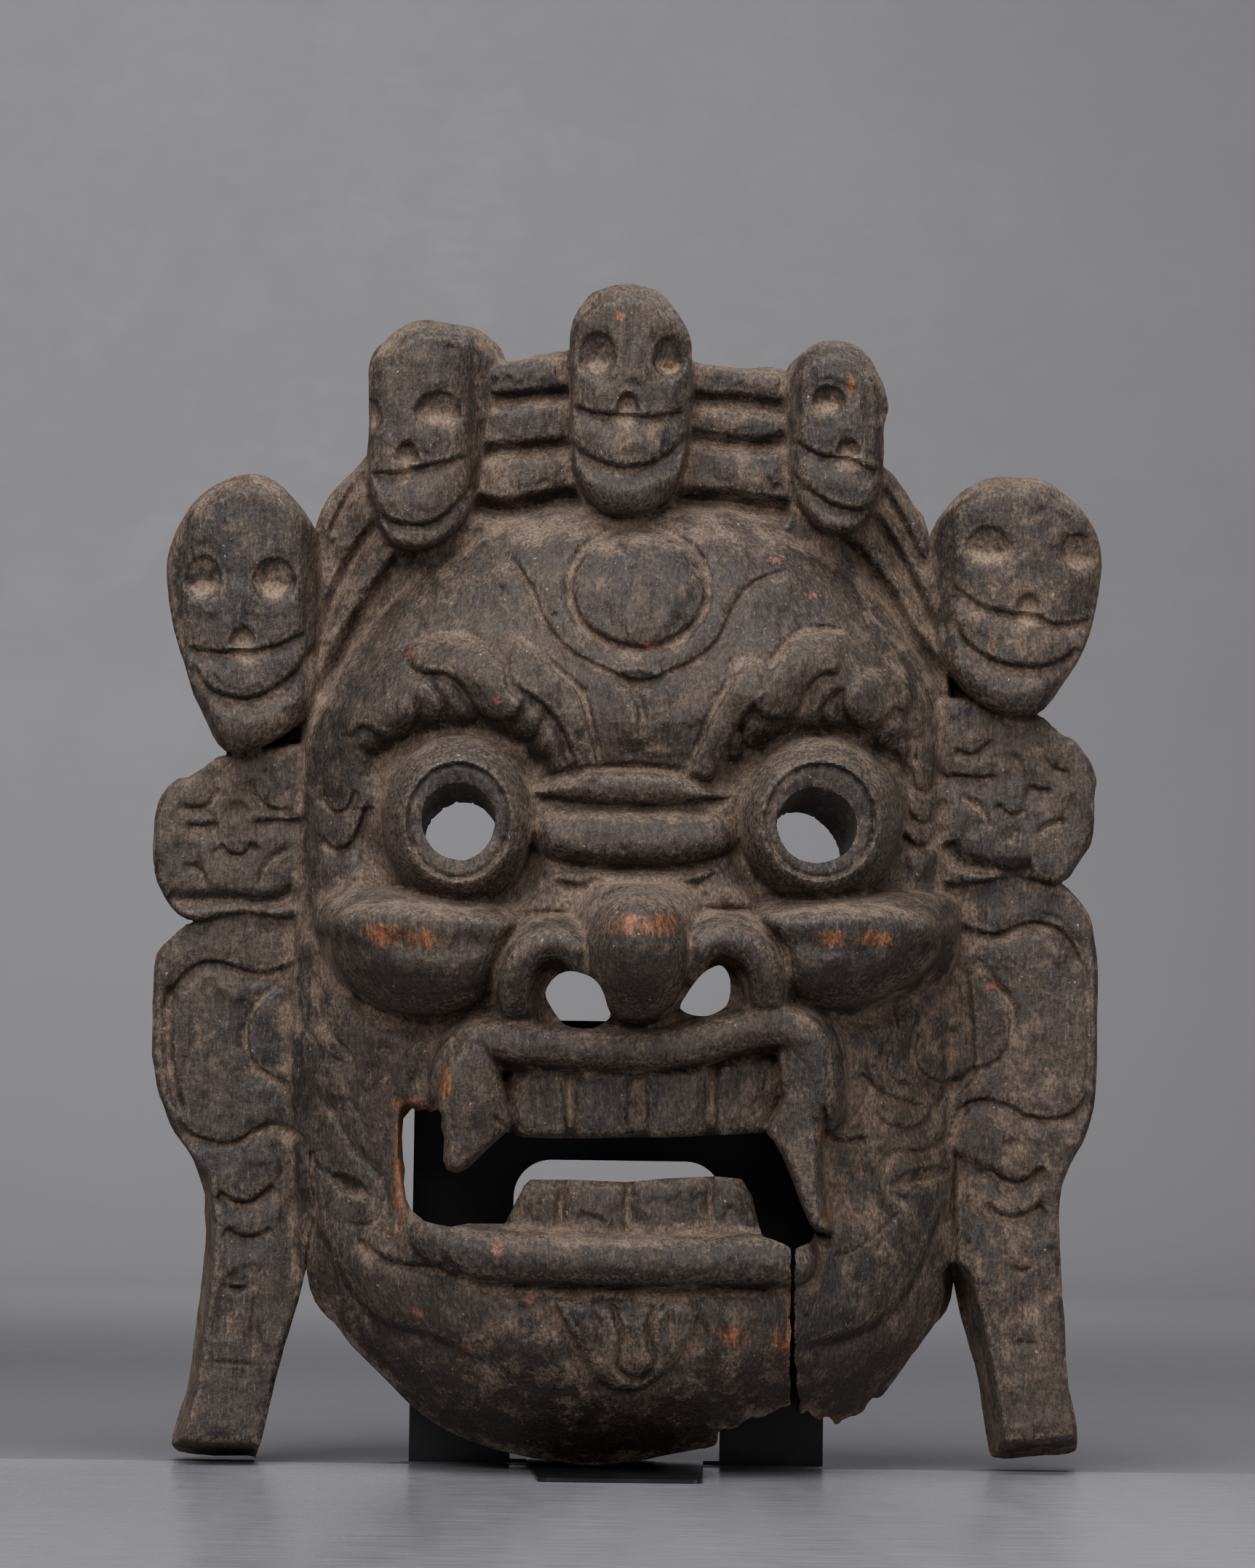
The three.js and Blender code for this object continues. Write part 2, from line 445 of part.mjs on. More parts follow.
function carveMouth() {
  roll([[-60, 146], [-56, 154], [-46, 157.5], [-32, 155], [-12, 152.5], [8, 152], [28, 154.5], [46, 160.5], [60, 165],
    [71, 161], [77, 151], [78, 138]], 7.5, [108, 113, 116, 117, 117, 117, 115, 112, 110], 3);
  const recess = curve([[-80, 131], [-64, 132], [-52, 150], [-40, 147], [20, 146], [45, 153], [60, 158], [66, 150],
    [62, 132], [76, 100], [82, 86], [66, 80], [0, 84], [-70, 86], [-78, 96]], true);
  over(-82, 84, 78, 160, (x, z, c) => {
    H[c] -= 14 * smooth(inside(recess, x, z), 0, 4);
  });
  pad([[-40, 134], [-37, 141], [-30, 146], [20, 148], [58, 150], [61, 140], [59, 124], [10, 121], [-34, 121],
    [-39, 126]], (x, z) => 104.5 - 0.0035 * (x - 9) ** 2 + 0.06 * (z - 120), 4, 4);
  for (const x of UPPER_TEETH) groove([[x, 147], [x - 0.5, 134], [x - 1, 119]], 2.8, 3.4);
  pad([[-41, 84], [-37, 97], [-33, 104.5], [5, 104.5], [38, 107.5], [48, 106.5], [52, 100], [54.5, 90], [56, 82],
    [-20, 80]], (x, z) => 100.5 - 0.0032 * (x - 8) ** 2 - 0.05 * (z - 85), 3.5, 4);
  for (const x of LOWER_TEETH) groove([[x, 108], [x, 96], [x + 0.5, 82]], 2.8, 3);
  pad([[-66, 134], [-63.5, 121], [-62, 108], [-58, 107], [-49, 114], [-39, 125], [-41, 137], [-46, 149], [-63, 149]],
    (x, z) => 108 + 0.05 * (z - 107) - 0.016 * (x + 53) ** 2, 7, 8);
  pad([[57, 125], [67, 106], [73, 91], [76, 87.5], [81.5, 87], [77.5, 105], [79, 132], [80, 145], [77, 155], [69, 160],
    [61, 155], [60, 140]], (x, z) => 111 - 0.02 * (150 - z) - 0.012 * (x - 69) ** 2, 7, 8);
  roll([[-66, 82], [-56, 78], [-40, 77], [-15, 76], [10, 75], [35, 75], [55, 75.5], [66, 75]], 8.5,
    [104, 110, 113, 114, 114, 113, 111, 109], 3);
  groove([[-66, 80], [-55, 71], [-30, 68], [15, 65.5], [54, 66.5], [60, 71]], 3, 3.4);
  puff([[1, 57], [3.5, 48], [2, 39], [9, 31], [18, 40], [15.5, 48], [17, 57]], 4, 4);
  puff([[-19, 58], [-9, 37], [-3, 33], [2, 47], [-8, 61]], 3, 4);
  puff([[20, 57], [18, 47], [23, 35], [31, 50], [34, 59]], 3, 4);
}

function carveHair() {
  const locks = [[[[-106, 197], [-103, 183], [-88, 164], [-74, 158]], 3, 4], [[[-108, 188], [-98, 160], [-97, 142]], 2.8, 3.2],
    [[[-92, 79], [-82, 74.5], [-72, 73], [-63, 75]], 2.8, 3.4],
    [[[-118, 115], [-115, 100], [-98, 72], [-74, 52], [-58, 45]], 3, 2.6],
    [[[122, 195], [113, 186], [104, 180], [82, 171]], 3, 4], [[[104, 178], [106, 170], [104, 160], [110, 144]], 2.8, 3],
    [[[94, 145], [99, 140], [108, 137], [113, 134]], 2.6, 3.2], [[[78, 131], [80, 124], [84, 121.5], [92, 123]], 2.6, 3],
    [[[126, 116], [124, 104], [112, 74], [88, 50], [74, 45]], 3.2, 3]];
  for (const [path, width, depth] of locks) groove(path, width, depth);
  scoop(-99.5, 102.5, 9.5, 4, -4.2, -0.44);
  scoop(115, 109.5, 11, 3.6, -4.2, 0.17);
  scoop(104, 172, 8, 11, -4, 0.35);
}

carveGround();
carveCrown();
for (const s of SKULLS) carveSkull(s);
carveSides();
carveEyes();
carveNose();
carveMouth();
carveHair();

// Triangles over the grid that follow a height field: the worst missed point is added again and again,
// and edges are flipped to keep the triangles well shaped, until the field is within the tolerance.
function drape(field, tolerance, wanted) {
  const last = GRID - 1;
  const px = [0, last, 0, last];
  const pz = [0, 0, last, last];
  const corner = [];
  const twin = [];
  const fresh = [];
  const worst = [];
  const miss = [];
  const turn = (a, b, x, z) => (px[b] - x) * (pz[a] - z) - (pz[b] - z) * (px[a] - x);
  const add = (a, b, c, ab, bc, ca, e = corner.length) => {
    [corner[e], corner[e + 1], corner[e + 2]] = [a, b, c];
    [twin[e], twin[e + 1], twin[e + 2]] = [ab, bc, ca];
    if (ab >= 0) twin[ab] = e;
    if (bc >= 0) twin[bc] = e + 1;
    if (ca >= 0) twin[ca] = e + 2;
    fresh[e / 3] = true;
    return e;
  };
  const inCircle = (a, b, c, p) => {
    const [dx, dz, ex, ez, fx, fz] = [px[a] - px[p], pz[a] - pz[p], px[b] - px[p], pz[b] - pz[p],
      px[c] - px[p], pz[c] - pz[p]];
    const [aa, bb, cc] = [dx * dx + dz * dz, ex * ex + ez * ez, fx * fx + fz * fz];
    return dx * (ez * cc - bb * fz) - dz * (ex * cc - bb * fx) + aa * (ex * fz - ez * fx) < 0;
  };
  const flip = (a) => {
    const b = twin[a];
    if (b < 0) return;
    const a0 = a - a % 3;
    const b0 = b - b % 3;
    const al = a0 + (a + 1) % 3;
    const ar = a0 + (a + 2) % 3;
    const bl = b0 + (b + 2) % 3;
    const br = b0 + (b + 1) % 3;
    const [p0, pr, pl, p1] = [corner[ar], corner[a], corner[al], corner[bl]];
    if (!inCircle(p0, pr, pl, p1)) return;
    const [hal, har, hbl, hbr] = [twin[al], twin[ar], twin[bl], twin[br]];
    const t0 = add(p0, p1, pl, -1, hbl, hal, a0);
    const t1 = add(p1, p0, pr, t0, har, hbr, b0);
    flip(t0 + 1);
    flip(t1 + 2);
  };
  const splitEdge = (pn, a) => {
    const a0 = a - a % 3;
    const al = a0 + (a + 1) % 3;
    const ar = a0 + (a + 2) % 3;
    const [p0, pr, pl] = [corner[ar], corner[a], corner[al]];
    const [hal, har, b] = [twin[al], twin[ar], twin[a]];
    if (b < 0) {
      const t0 = add(pn, p0, pr, -1, har, -1, a0);
      const t1 = add(p0, pn, pl, t0, -1, hal);
      flip(t0 + 1);
      flip(t1 + 2);
      return;
    }
    const b0 = b - b % 3;
    const bl = b0 + (b + 2) % 3;
    const br = b0 + (b + 1) % 3;
    const [p1, hbl, hbr] = [corner[bl], twin[bl], twin[br]];
    const t0 = add(p0, pr, pn, har, -1, -1, a0);
    const t1 = add(pr, p1, pn, hbr, -1, t0 + 1, b0);
    const t2 = add(p1, pl, pn, hbl, -1, t1 + 1);
    const t3 = add(pl, p0, pn, hal, t0 + 2, t2 + 1);
    for (const t of [t0, t1, t2, t3]) flip(t);
  };
  // Finds the grid point a triangle misses most.
  const measure = (t) => {
    fresh[t] = false;
    miss[t] = 0;
    const [a, b, c] = [corner[3 * t], corner[3 * t + 1], corner[3 * t + 2]];
    const [ha, hb, hc] = [a, b, c].map((p) => field[pz[p] * GRID + px[p]]);
    const area = turn(a, b, px[c], pz[c]);
    const x0 = Math.min(px[a], px[b], px[c]);
    const x1 = Math.max(px[a], px[b], px[c]);
    const z1 = Math.max(pz[a], pz[b], pz[c]);
    for (let z = Math.min(pz[a], pz[b], pz[c]); z <= z1; z++) {
      for (let x = x0; x <= x1; x++) {
        const wa = turn(b, c, x, z) / area;
        const wb = turn(c, a, x, z) / area;
        const wc = 1 - wa - wb;
        if (wa < 0 || wb < 0 || wc < -1e-12 || !wanted[z * GRID + x]) continue;
        const off = Math.abs(wa * ha + wb * hb + wc * hc - field[z * GRID + x]);
        if (off > miss[t]) {
          miss[t] = off;
          worst[t] = [x, z];
        }
      }
    }
  };
  const refine = (t) => {
    const e = 3 * t;
    const [a, b, c] = [corner[e], corner[e + 1], corner[e + 2]];
    const [x, z] = worst[t];
    const pn = px.length;
    px.push(x);
    pz.push(z);
    if (turn(a, b, x, z) === 0) splitEdge(pn, e);
    else if (turn(b, c, x, z) === 0) splitEdge(pn, e + 1);
    else if (turn(c, a, x, z) === 0) splitEdge(pn, e + 2);
    else {
      const [h0, h1, h2] = [twin[e], twin[e + 1], twin[e + 2]];
      const t0 = add(a, b, pn, h0, -1, -1, e);
      const t1 = add(b, c, pn, h1, -1, t0 + 1);
      const t2 = add(c, a, pn, h2, t0 + 2, t1 + 1);
      for (const f of [t0, t1, t2]) flip(f);
    }
  };
  const first = add(3, 0, 2, -1, -1, -1);
  add(0, 3, 1, first, -1, -1);
  for (let limit = 60; limit > tolerance * 0.8; limit *= 0.8) {
    const goal = Math.max(limit, tolerance);
    for (let found = true; found;) {
      found = false;
      for (let t = 0; t < corner.length / 3; t++) {
        if (fresh[t]) measure(t);
        if (miss[t] > goal) {
          refine(t);
          found = true;
        }
      }
    }
  }
  const faces = [];
  const index = (p) => pz[p] * GRID + px[p];
  for (let e = 0; e < corner.length; e += 3) {
    faces.push([index(corner[e]), index(corner[e + 2]), index(corner[e + 1])]);
  }
  return faces;
}

// Closed block between a height field and a level far behind it.
function reliefBlock(field, tolerance, wanted) {
  const faces = drape(field, tolerance, wanted);
  const level = -40;
  const points = [];
  const put = (m, d) => points.push(gridX(m % GRID), -d, gridZ(Math.floor(m / GRID)));
  const edges = new Map();
  for (const [a, b, c] of faces) {
    for (const m of [a, b, c]) put(m, field[m]);
    for (const m of [a, c, b]) put(m, level);
    for (const [p, q] of [[a, b], [b, c], [c, a]]) {
      if (!edges.delete(q * 1e6 + p)) edges.set(p * 1e6 + q, [p, q]);
    }
  }
  for (const [p, q] of edges.values()) {
    put(p, level);
    put(q, level);
    put(q, field[q]);
    put(p, level);
    put(q, field[q]);
    put(p, field[p]);
  }
  const geometry = new THREE.BufferGeometry();
  geometry.setAttribute('position', new THREE.Float32BufferAttribute(points, 3));
  return solid(geometry);
}

// Turns a closed geometry into a solid that can be joined and cut.
function solid(geometry) {
  geometry.deleteAttribute('normal');
  geometry.deleteAttribute('uv');
  const merged = BufferGeometryUtils.mergeVertices(geometry, 1e-4);
  const mesh = new wasm.Mesh({ numProp: 3, vertProperties: new Float32Array(merged.attributes.position.array),
    triVerts: new Uint32Array(merged.index.array) });
  return new wasm.Manifold(mesh);
}
// Prism over a drawn line, from depth near to depth far, with a shift of the far end.
function prism(line, near, far, shiftX = 0, shiftZ = 0) {
  const shape = new THREE.Shape(line.map(([x, z]) => new THREE.Vector2(x, z)));
  const geometry = new THREE.ExtrudeGeometry(shape, { depth: far - near, bevelEnabled: false, steps: 1 });
  const p = geometry.attributes.position;
  for (let i = 0; i < p.count; i++) {
    const t = p.getZ(i) / (far - near);
    p.setXYZ(i, p.getX(i) + shiftX * (1 - t), -(near + p.getZ(i)), p.getY(i) + shiftZ * (1 - t));
  }
  return solid(geometry);
}
function ellipse(cx, cz, rx, rz, count = 28) {
  const out = [];
  for (let i = 0; i < count; i++) {
    const a = 2 * Math.PI * i / count;
    out.push([cx + rx * Math.cos(a), cz + rz * Math.sin(a)]);
  }
  return out;
}

// Outline of the whole front
const outlines = [LOBE_LEFT, LOBE_RIGHT, ROSETTE_LEFT, ROSETTE_RIGHT, HOLLOW_LEFT, HOLLOW_RIGHT, CROWN_BAND, FACE,
  ...SKULLS.map((s) => s.outline)];
const outlineLines = outlines.map((points) => curve(points, true, 2));
let outline = null;
for (const line of outlineLines) {
  const body = prism(line, 0, 190);
  outline = outline ? outline.add(body) : body;
}
// Only cells in the outline ask for detail.
const near = new Uint8Array(GRID * GRID);
for (const line of outlineLines) {
  over(...boxOf(line, 3), (x, z, c) => {
    if (inside(line, x, z) > 0) near[c] = 1;
  });
}

// Hollow of the back: a bowl under the face with an even wall.
const bowl = curve([[-100, 110], [-101, 200], [-97, 262], [-84, 300], [-52, 335], [0, 346], [56, 335], [92, 300],
  [104, 262], [107, 200], [107, 110], [98, 70], [66, 38], [0, 26], [-56, 36], [-88, 70]], true);
const back = new Float64Array(GRID * GRID);
over(FIELD_LEFT, -FIELD_LEFT, FIELD_BOTTOM, 450, (x, z, c) => {
  const s = inside(bowl, x, z);
  const round = Math.sqrt(1 - (1 - clamp01(s / 60)) ** 2);
  const room = Math.min(between(MIDDLE_DEPTH, z), 96) - FACE_WALL;
  const crown = CROWN_THINNING * smooth(z, 325, 440);
  back[c] = s > 0 ? Math.max(room * round, crown) : Math.max(crown, 1) - (crown > 1 ? 0 : 8);
});

let mask = reliefBlock(H, FRONT_TOLERANCE, near).intersect(outline);
mask = mask.subtract(reliefBlock(back, BACK_TOLERANCE, back.map((d) => (d > -3 ? 1 : 0))));

// Through cuts
const cuts = [];
cuts.push(prism(ellipse(-59.5, 238.5, 12.6, 12.8), -10, 150, 1, -8));
cuts.push(prism(ellipse(75, 239, 13.2, 13), -10, 150, -3, -7));
cuts.push(prism(curve([[-27, 172], [-25, 179], [-17, 183.5], [-8, 180.5], [-2.5, 173], [-2, 166], [-8, 162], [-19, 163.5]],
  true, 3), -10, 170));
cuts.push(prism(curve([[24, 170], [30, 180], [38, 186], [43.5, 181], [42, 172], [34, 167]], true, 3), -10, 170));
const mouthOpening = [[-78.5, 128], [-77, 130.5], [-64, 130], [-63.5, 112], [-62, 107.8], [-58, 106.8], [-53, 109],
  [-48, 114.5], [-40, 122.5], [-33, 120.5], [0, 121], [40, 122.5], [57, 123.5], [63, 115], [70, 98], [76, 87.5],
  [74, 84], [67.5, 80.5], [60, 83.5], [55.5, 86], [54, 92], [50, 103.5], [46, 107], [30, 107], [5, 104.5],
  [-32, 105], [-36, 98], [-40.5, 88.5], [-55, 88.5], [-70, 89], [-76, 94.5], [-78.5, 103]];
cuts.push(prism(mouthOpening, -10, 150));
cuts.push(prism([[66.9, 82], [67.2, 60], [66.8, 50], [68, 30], [68.2, 12], [69.8, 12], [69.4, 30], [68, 50],
  [68.4, 60], [68.1, 82]], -10, 150));
// Flat under the chin, just clear of the tongue of the stand.
cuts.push(prism([[-36, -25], [40, -25], [40, -4.2], [-36, -4.2]], -10, 100, 0, 6.9));
for (const cut of cuts) mask = mask.subtract(cut);

// Back to real positions.
function meshOf(body, name, colour, roughness, metalness, move) {
  const data = body.getMesh();
  const geometry = new THREE.BufferGeometry();
  const position = new Float32Array(data.numVert * 3);
  for (let i = 0; i < data.numVert; i++) {
    const at = i * data.numProp;
    const [x, y, z] = move(data.vertProperties[at], data.vertProperties[at + 1], data.vertProperties[at + 2]);
    position.set([x, y, z], i * 3);
  }
  geometry.setAttribute('position', new THREE.BufferAttribute(position, 3));
  geometry.setIndex(Array.from(data.triVerts));
  geometry.computeVertexNormals();
  const mesh = new THREE.Mesh(geometry, new THREE.MeshStandardMaterial({ color: colour, roughness, metalness }));
  mesh.name = name;
  return mesh;
}

// Stand: one sheet, an upright panel with a window and a tongue bent forward under the chin.
const panel = new THREE.Shape();
panel.moveTo(STAND.left, 0);
panel.lineTo(STAND.right, 0);
panel.lineTo(STAND.right, STAND.top);
panel.lineTo(STAND.left, STAND.top);
panel.closePath();
const opening = new THREE.Path();
opening.moveTo(STAND.windowLeft, SHEET);
opening.lineTo(STAND.windowLeft, STAND.windowTop - WINDOW_CORNER);
opening.absarc(STAND.windowLeft + WINDOW_CORNER, STAND.windowTop - WINDOW_CORNER, WINDOW_CORNER, Math.PI, Math.PI / 2, true);
opening.lineTo(STAND.windowRight - WINDOW_CORNER, STAND.windowTop);
opening.absarc(STAND.windowRight - WINDOW_CORNER, STAND.windowTop - WINDOW_CORNER, WINDOW_CORNER, Math.PI / 2, 0, true);
opening.lineTo(STAND.windowRight, SHEET);
opening.closePath();
panel.holes.push(opening);
const upright = new THREE.ExtrudeGeometry(panel, { depth: SHEET, bevelEnabled: false, curveSegments: 6 });
upright.rotateX(Math.PI / 2);
upright.translate(0, GAP + SHEET, 0);
const sole = new THREE.Shape();
sole.moveTo(FOOT.left, GAP + SHEET / 2);
sole.lineTo(FOOT.tipLeft, -FOOT.length + FOOT.corner);
sole.quadraticCurveTo(FOOT.tipLeft, -FOOT.length, FOOT.tipLeft + FOOT.corner, -FOOT.length);
sole.lineTo(FOOT.tipRight - FOOT.corner, -FOOT.length);
sole.quadraticCurveTo(FOOT.tipRight, -FOOT.length, FOOT.tipRight, -FOOT.length + FOOT.corner);
sole.lineTo(FOOT.right, GAP + SHEET / 2);
sole.closePath();
const tongue = new THREE.ExtrudeGeometry(sole, { depth: SHEET, bevelEnabled: false, curveSegments: 5 });
const stand = solid(upright).add(solid(tongue));

const group = new THREE.Group();
group.add(meshOf(mask, 'mask', 0x453b36, 0.62, 0, (x, y, z) => place(x, -y, z)));
group.add(meshOf(stand, 'display_stand', 0x0c0c0e, 0.3, 0.6, (x, y, z) => [x, y, z]));

// The origin is the bottom centre of the whole.
const box = new THREE.Box3().setFromObject(group);
for (const mesh of group.children) {
  mesh.geometry.translate(-(box.min.x + box.max.x) / 2, -(box.min.y + box.max.y) / 2, -box.min.z);
}
export default group;
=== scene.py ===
# Carved dance mask on its bent sheet-steel stand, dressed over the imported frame. Blender 4.5.
import math

import bpy
import numpy as np
from mathutils import Matrix, Vector


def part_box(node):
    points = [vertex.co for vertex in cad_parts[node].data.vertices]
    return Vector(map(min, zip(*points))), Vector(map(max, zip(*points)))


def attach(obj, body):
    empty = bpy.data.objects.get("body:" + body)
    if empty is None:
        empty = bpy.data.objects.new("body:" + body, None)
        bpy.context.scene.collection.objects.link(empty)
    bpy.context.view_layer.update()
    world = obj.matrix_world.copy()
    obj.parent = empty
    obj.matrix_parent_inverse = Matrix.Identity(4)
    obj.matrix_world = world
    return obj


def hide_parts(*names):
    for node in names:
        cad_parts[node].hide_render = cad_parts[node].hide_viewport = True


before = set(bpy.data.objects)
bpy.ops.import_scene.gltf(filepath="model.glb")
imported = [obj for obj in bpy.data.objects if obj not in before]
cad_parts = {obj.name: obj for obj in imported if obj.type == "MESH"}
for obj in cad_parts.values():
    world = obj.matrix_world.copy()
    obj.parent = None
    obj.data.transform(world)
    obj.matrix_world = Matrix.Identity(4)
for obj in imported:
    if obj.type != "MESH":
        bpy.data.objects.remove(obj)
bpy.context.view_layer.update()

# The frame gives where the back plane of the mask stands. All carving sizes are millimetres.
STAND_LEFT = -74.5
STAND_BACK = 1.8
low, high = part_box("display_stand")
SHIFT_X = low.x * 1000 - STAND_LEFT
SHIFT_Y = high.y * 1000 - STAND_BACK

# Eye of the camera, seen from the middle of the back plane
EYE = np.array([-40.8, -1944.7, 115.5])
YAW = math.radians(-1.3)
PITCH = math.radians(-4.06)
ROLL = math.radians(0.8)
LENS = 119.27
SENSOR = 36
CLIP_START = 0.05
CLIP_END = 30

# Height field of the carving: forward depth over the back plane, on an even grid
STEP = 0.75
X_LINE = np.arange(-190, 196, STEP)
Z_LINE = np.arange(-8, 452, STEP)
X, Z = np.meshgrid(X_LINE, Z_LINE)
H = np.zeros_like(X)


def place(p):
    """Moves points drawn on the back plane, as the eye sees them, forward to their own depth."""
    d = -p[:, 1]
    k = 1 - d / -EYE[1]
    x = EYE[0] + (p[:, 0] - EYE[0]) * k
    z = EYE[2] + (p[:, 2] - EYE[2]) * k
    return np.stack([x + SHIFT_X, p[:, 1] + SHIFT_Y, z], 1) / 1000


# Shapes of slopes and lines
def smooth(v, lo, hi):
    """Soft step from 0 to 1."""
    t = np.clip((v - lo) / (hi - lo), 0, 1)
    return t * t * (3 - 2 * t)


def smooth_max(a, b, k):
    """Larger of two fields, blended where they differ by less than k."""
    h = np.clip(0.5 + 0.5 * (a - b) / k, 0, 1)
    return b + (a - b) * h + k * h * (1 - h)


def dome(q):
    """Quarter circle that rises from 0 to 1 as q does."""
    return np.sqrt(1 - (1 - q) ** 2)


def arched(top, middle, bend, level, lean):
    """Top of a form that bends back from its middle and leans forward above a level."""
    return lambda x, z: top - bend * (x - middle) ** 2 + lean * (z - level)


def curve(points, closed=False, steps=6):
    """Smooth line through the points."""
    p = np.array(points, float)
    n = len(p)
    out = []
    for i in range(n if closed else n - 1):
        at = [(i + k) % n if closed else min(max(i + k, 0), n - 1) for k in (-1, 0, 1, 2)]
        a, b, c, d = p[at]
        for s in range(steps):
            t = s / steps
            out.append(0.5 * (2 * b + (c - a) * t + (2 * a - 5 * b + 4 * c - d) * t * t
                              + (3 * b - a - 3 * c + d) * t ** 3))
    if not closed:
        out.append(p[-1])
    return np.array(out)


def window(x0, x1, z0, z1):
    """Part of the grid between two places along x and z."""
    i0, i1 = np.searchsorted(Z_LINE, [z0, z1])
    j0, j1 = np.searchsorted(X_LINE, [x0, x1])
    return slice(i0, i1), slice(j0, j1)


def window_of(line, margin):
    """Part of the grid round a line."""
    x0, z0 = line.min(0) - margin
    x1, z1 = line.max(0) + margin
    return window(x0, x1, z0, z1)


def nearest(line, margin, closed=False):
    """Distance to a line in its window, with the side of it and how far along it."""
    w = window_of(line, margin)
    x, z = X[w], Z[w]
    best = np.full(x.shape, 1e9)
    side = np.ones(x.shape)
    along = np.zeros(x.shape)
    q = np.vstack([line, line[:1]]) if closed else line
    length = np.hypot(*np.diff(q, axis=0).T)
    run = np.concatenate([[0], np.cumsum(length)])
    for i in range(len(q) - 1):
        a = q[i]
        d = q[i + 1] - a
        t = np.clip(((x - a[0]) * d[0] + (z - a[1]) * d[1]) / (d @ d + 1e-9), 0, 1)
        off = (x - a[0] - t * d[0]) ** 2 + (z - a[1] - t * d[1]) ** 2
        near = off < best
        best = np.where(near, off, best)
        side = np.where(near, np.sign(d[0] * (z - a[1]) - d[1] * (x - a[0])), side)
        along = np.where(near, (run[i] + t * length[i]) / run[-1], along)
    return w, np.sqrt(best), side, along


def inside(line, margin=2):
    """Depth inside a closed line, negative outside."""
    w, d, _, _ = nearest(line, margin, True)
    x, z = X[w], Z[w]
    odd = np.zeros(x.shape, bool)
    for (x1, z1), (x2, z2) in zip(line, np.roll(line, -1, 0)):
        if z1 != z2:
            odd ^= ((z1 > z) != (z2 > z)) & (x < (x2 - x1) * (z - z1) / (z2 - z1) + x1)
    return w, np.where(odd, d, -d)


def wobble(points, amount, seed):
    """Closed line through the points, roughened as a knife leaves it."""
    rng = np.random.default_rng(seed)
    line = curve(points, True)
    soft = rng.normal(0, 1, line.shape)
    soft = (soft + np.roll(soft, 1, 0) + np.roll(soft, -1, 0)) / 3
    return line + amount * soft


# Relief tools: each one changes the height field round its own form
LEFT, RIGHT = 1, -1


def ends(along, taper):
    """Strength of a cut: full along its middle, running out at both ends."""
    return np.clip(np.minimum(along, 1 - along) / taper, 0, 1) ** 0.6


def puff(points, height, round_):
    """Adds a cushion with round edges."""
    w, s = inside(curve(points, True))
    H[w] += height * dome(np.clip(s / round_, 0, 1))


def pad(points, top, round_, drop, rough=0.0):
    """Raises the ground to a top of its own, rounded off at the outline."""
    w, s = inside(wobble(points, rough, len(points)))
    t = top(X[w], Z[w]) if callable(top) else top
    t = t - drop * (1 - dome(np.clip(s / round_, 0, 1)))
    H[w] = np.where(s > 0, np.maximum(H[w], t), H[w])


def groove(points, width, depth, taper=0.1):
    """Soft channel, as wide on both sides of the line."""
    w, d, _, along = nearest(curve(points), width + 1)
    k = ends(along, taper)
    q = np.clip(1 - d / (width * np.maximum(k, 0.15)), 0, 1)
    H[w] -= depth * k * q * q * (3 - 2 * q)


def grooves(rows, taper=0.1):
    """Several grooves, each row a line, a width and a depth."""
    for points, width, depth in rows:
        groove(points, width, depth, taper)


def fold(points, left, right, depth, taper=0.1):
    """Valley with a wall of its own width on each side of the line."""
    w, d, sign, along = nearest(curve(points), max(left, right) + 1)
    k = np.maximum(ends(along, taper), 0.1)
    q = np.clip(1 - d / (np.where(sign > 0, left, right) * k), 0, 1)
    H[w] -= depth * k * q


def step(points, drop, run, edge, side=RIGHT, region=None):
    """Knife cut that lowers one side of the line and rises back over the run."""
    w, d, sign, along = nearest(curve(points), run * 1.2 + edge)
    k = np.maximum(ends(along, 0.08), 0.1)
    if region is not None:
        full = np.full(H.shape, -1.0)
        wr, s = inside(region, run * 1.2)
        full[wr] = s
        k = k * np.clip(full[w] / 2.5, 0, 1)
    rise = np.clip(d / edge, 0, 1)
    fall = np.clip(1 - (d - edge) / run, 0, 1) ** 1.4
    H[w] -= np.where(sign * side > 0, drop * k * rise * fall, 0)


def steps(rows, side=RIGHT):
    """Several knife cuts, each row a line, a drop and a run."""
    for points, drop, run in rows:
        step(points, drop, run, 1.0, side)


def swell(points, width, height):
    """Soft rise along a line, or a hollow where the height is negative."""
    w, d, _, along = nearest(curve(points), width * 1.7)
    k = np.clip(np.minimum(along, 1 - along) / 0.18 + 0.35, 0, 1)
    H[w] += height * k * np.exp(-1.6 * (d / width) ** 2)


def roll(points, radius, rise, tops, blend):
    """Rounded band along a line, its top given at even steps."""
    w, d, _, along = nearest(curve(points), radius + 4)
    top = np.interp(along, np.linspace(0, 1, len(tops)), tops)
    t = rise * (np.sqrt(np.clip(1 - (d / radius) ** 2, 0, 1)) - 1) - 4 * np.clip(d - radius, 0, None)
    H[w] = smooth_max(H[w], top + t, blend)


def radius(w, cx, cz, rx, rz):
    """Distance from the middle of an ellipse in a window, 1 at its edge."""
    return np.hypot((X[w] - cx) / rx, (Z[w] - cz) / rz)


def spot(cx, cz, rx, rz, turn=0.0):
    """Window and scaled radius of a turned ellipse."""
    reach = max(rx, rz) + 2
    w = window(cx - reach, cx + reach, cz - reach, cz + reach)
    c, s = math.cos(turn), math.sin(turn)
    u = ((X[w] - cx) * c + (Z[w] - cz) * s) / rx
    v = ((Z[w] - cz) * c - (X[w] - cx) * s) / rz
    return w, u, v


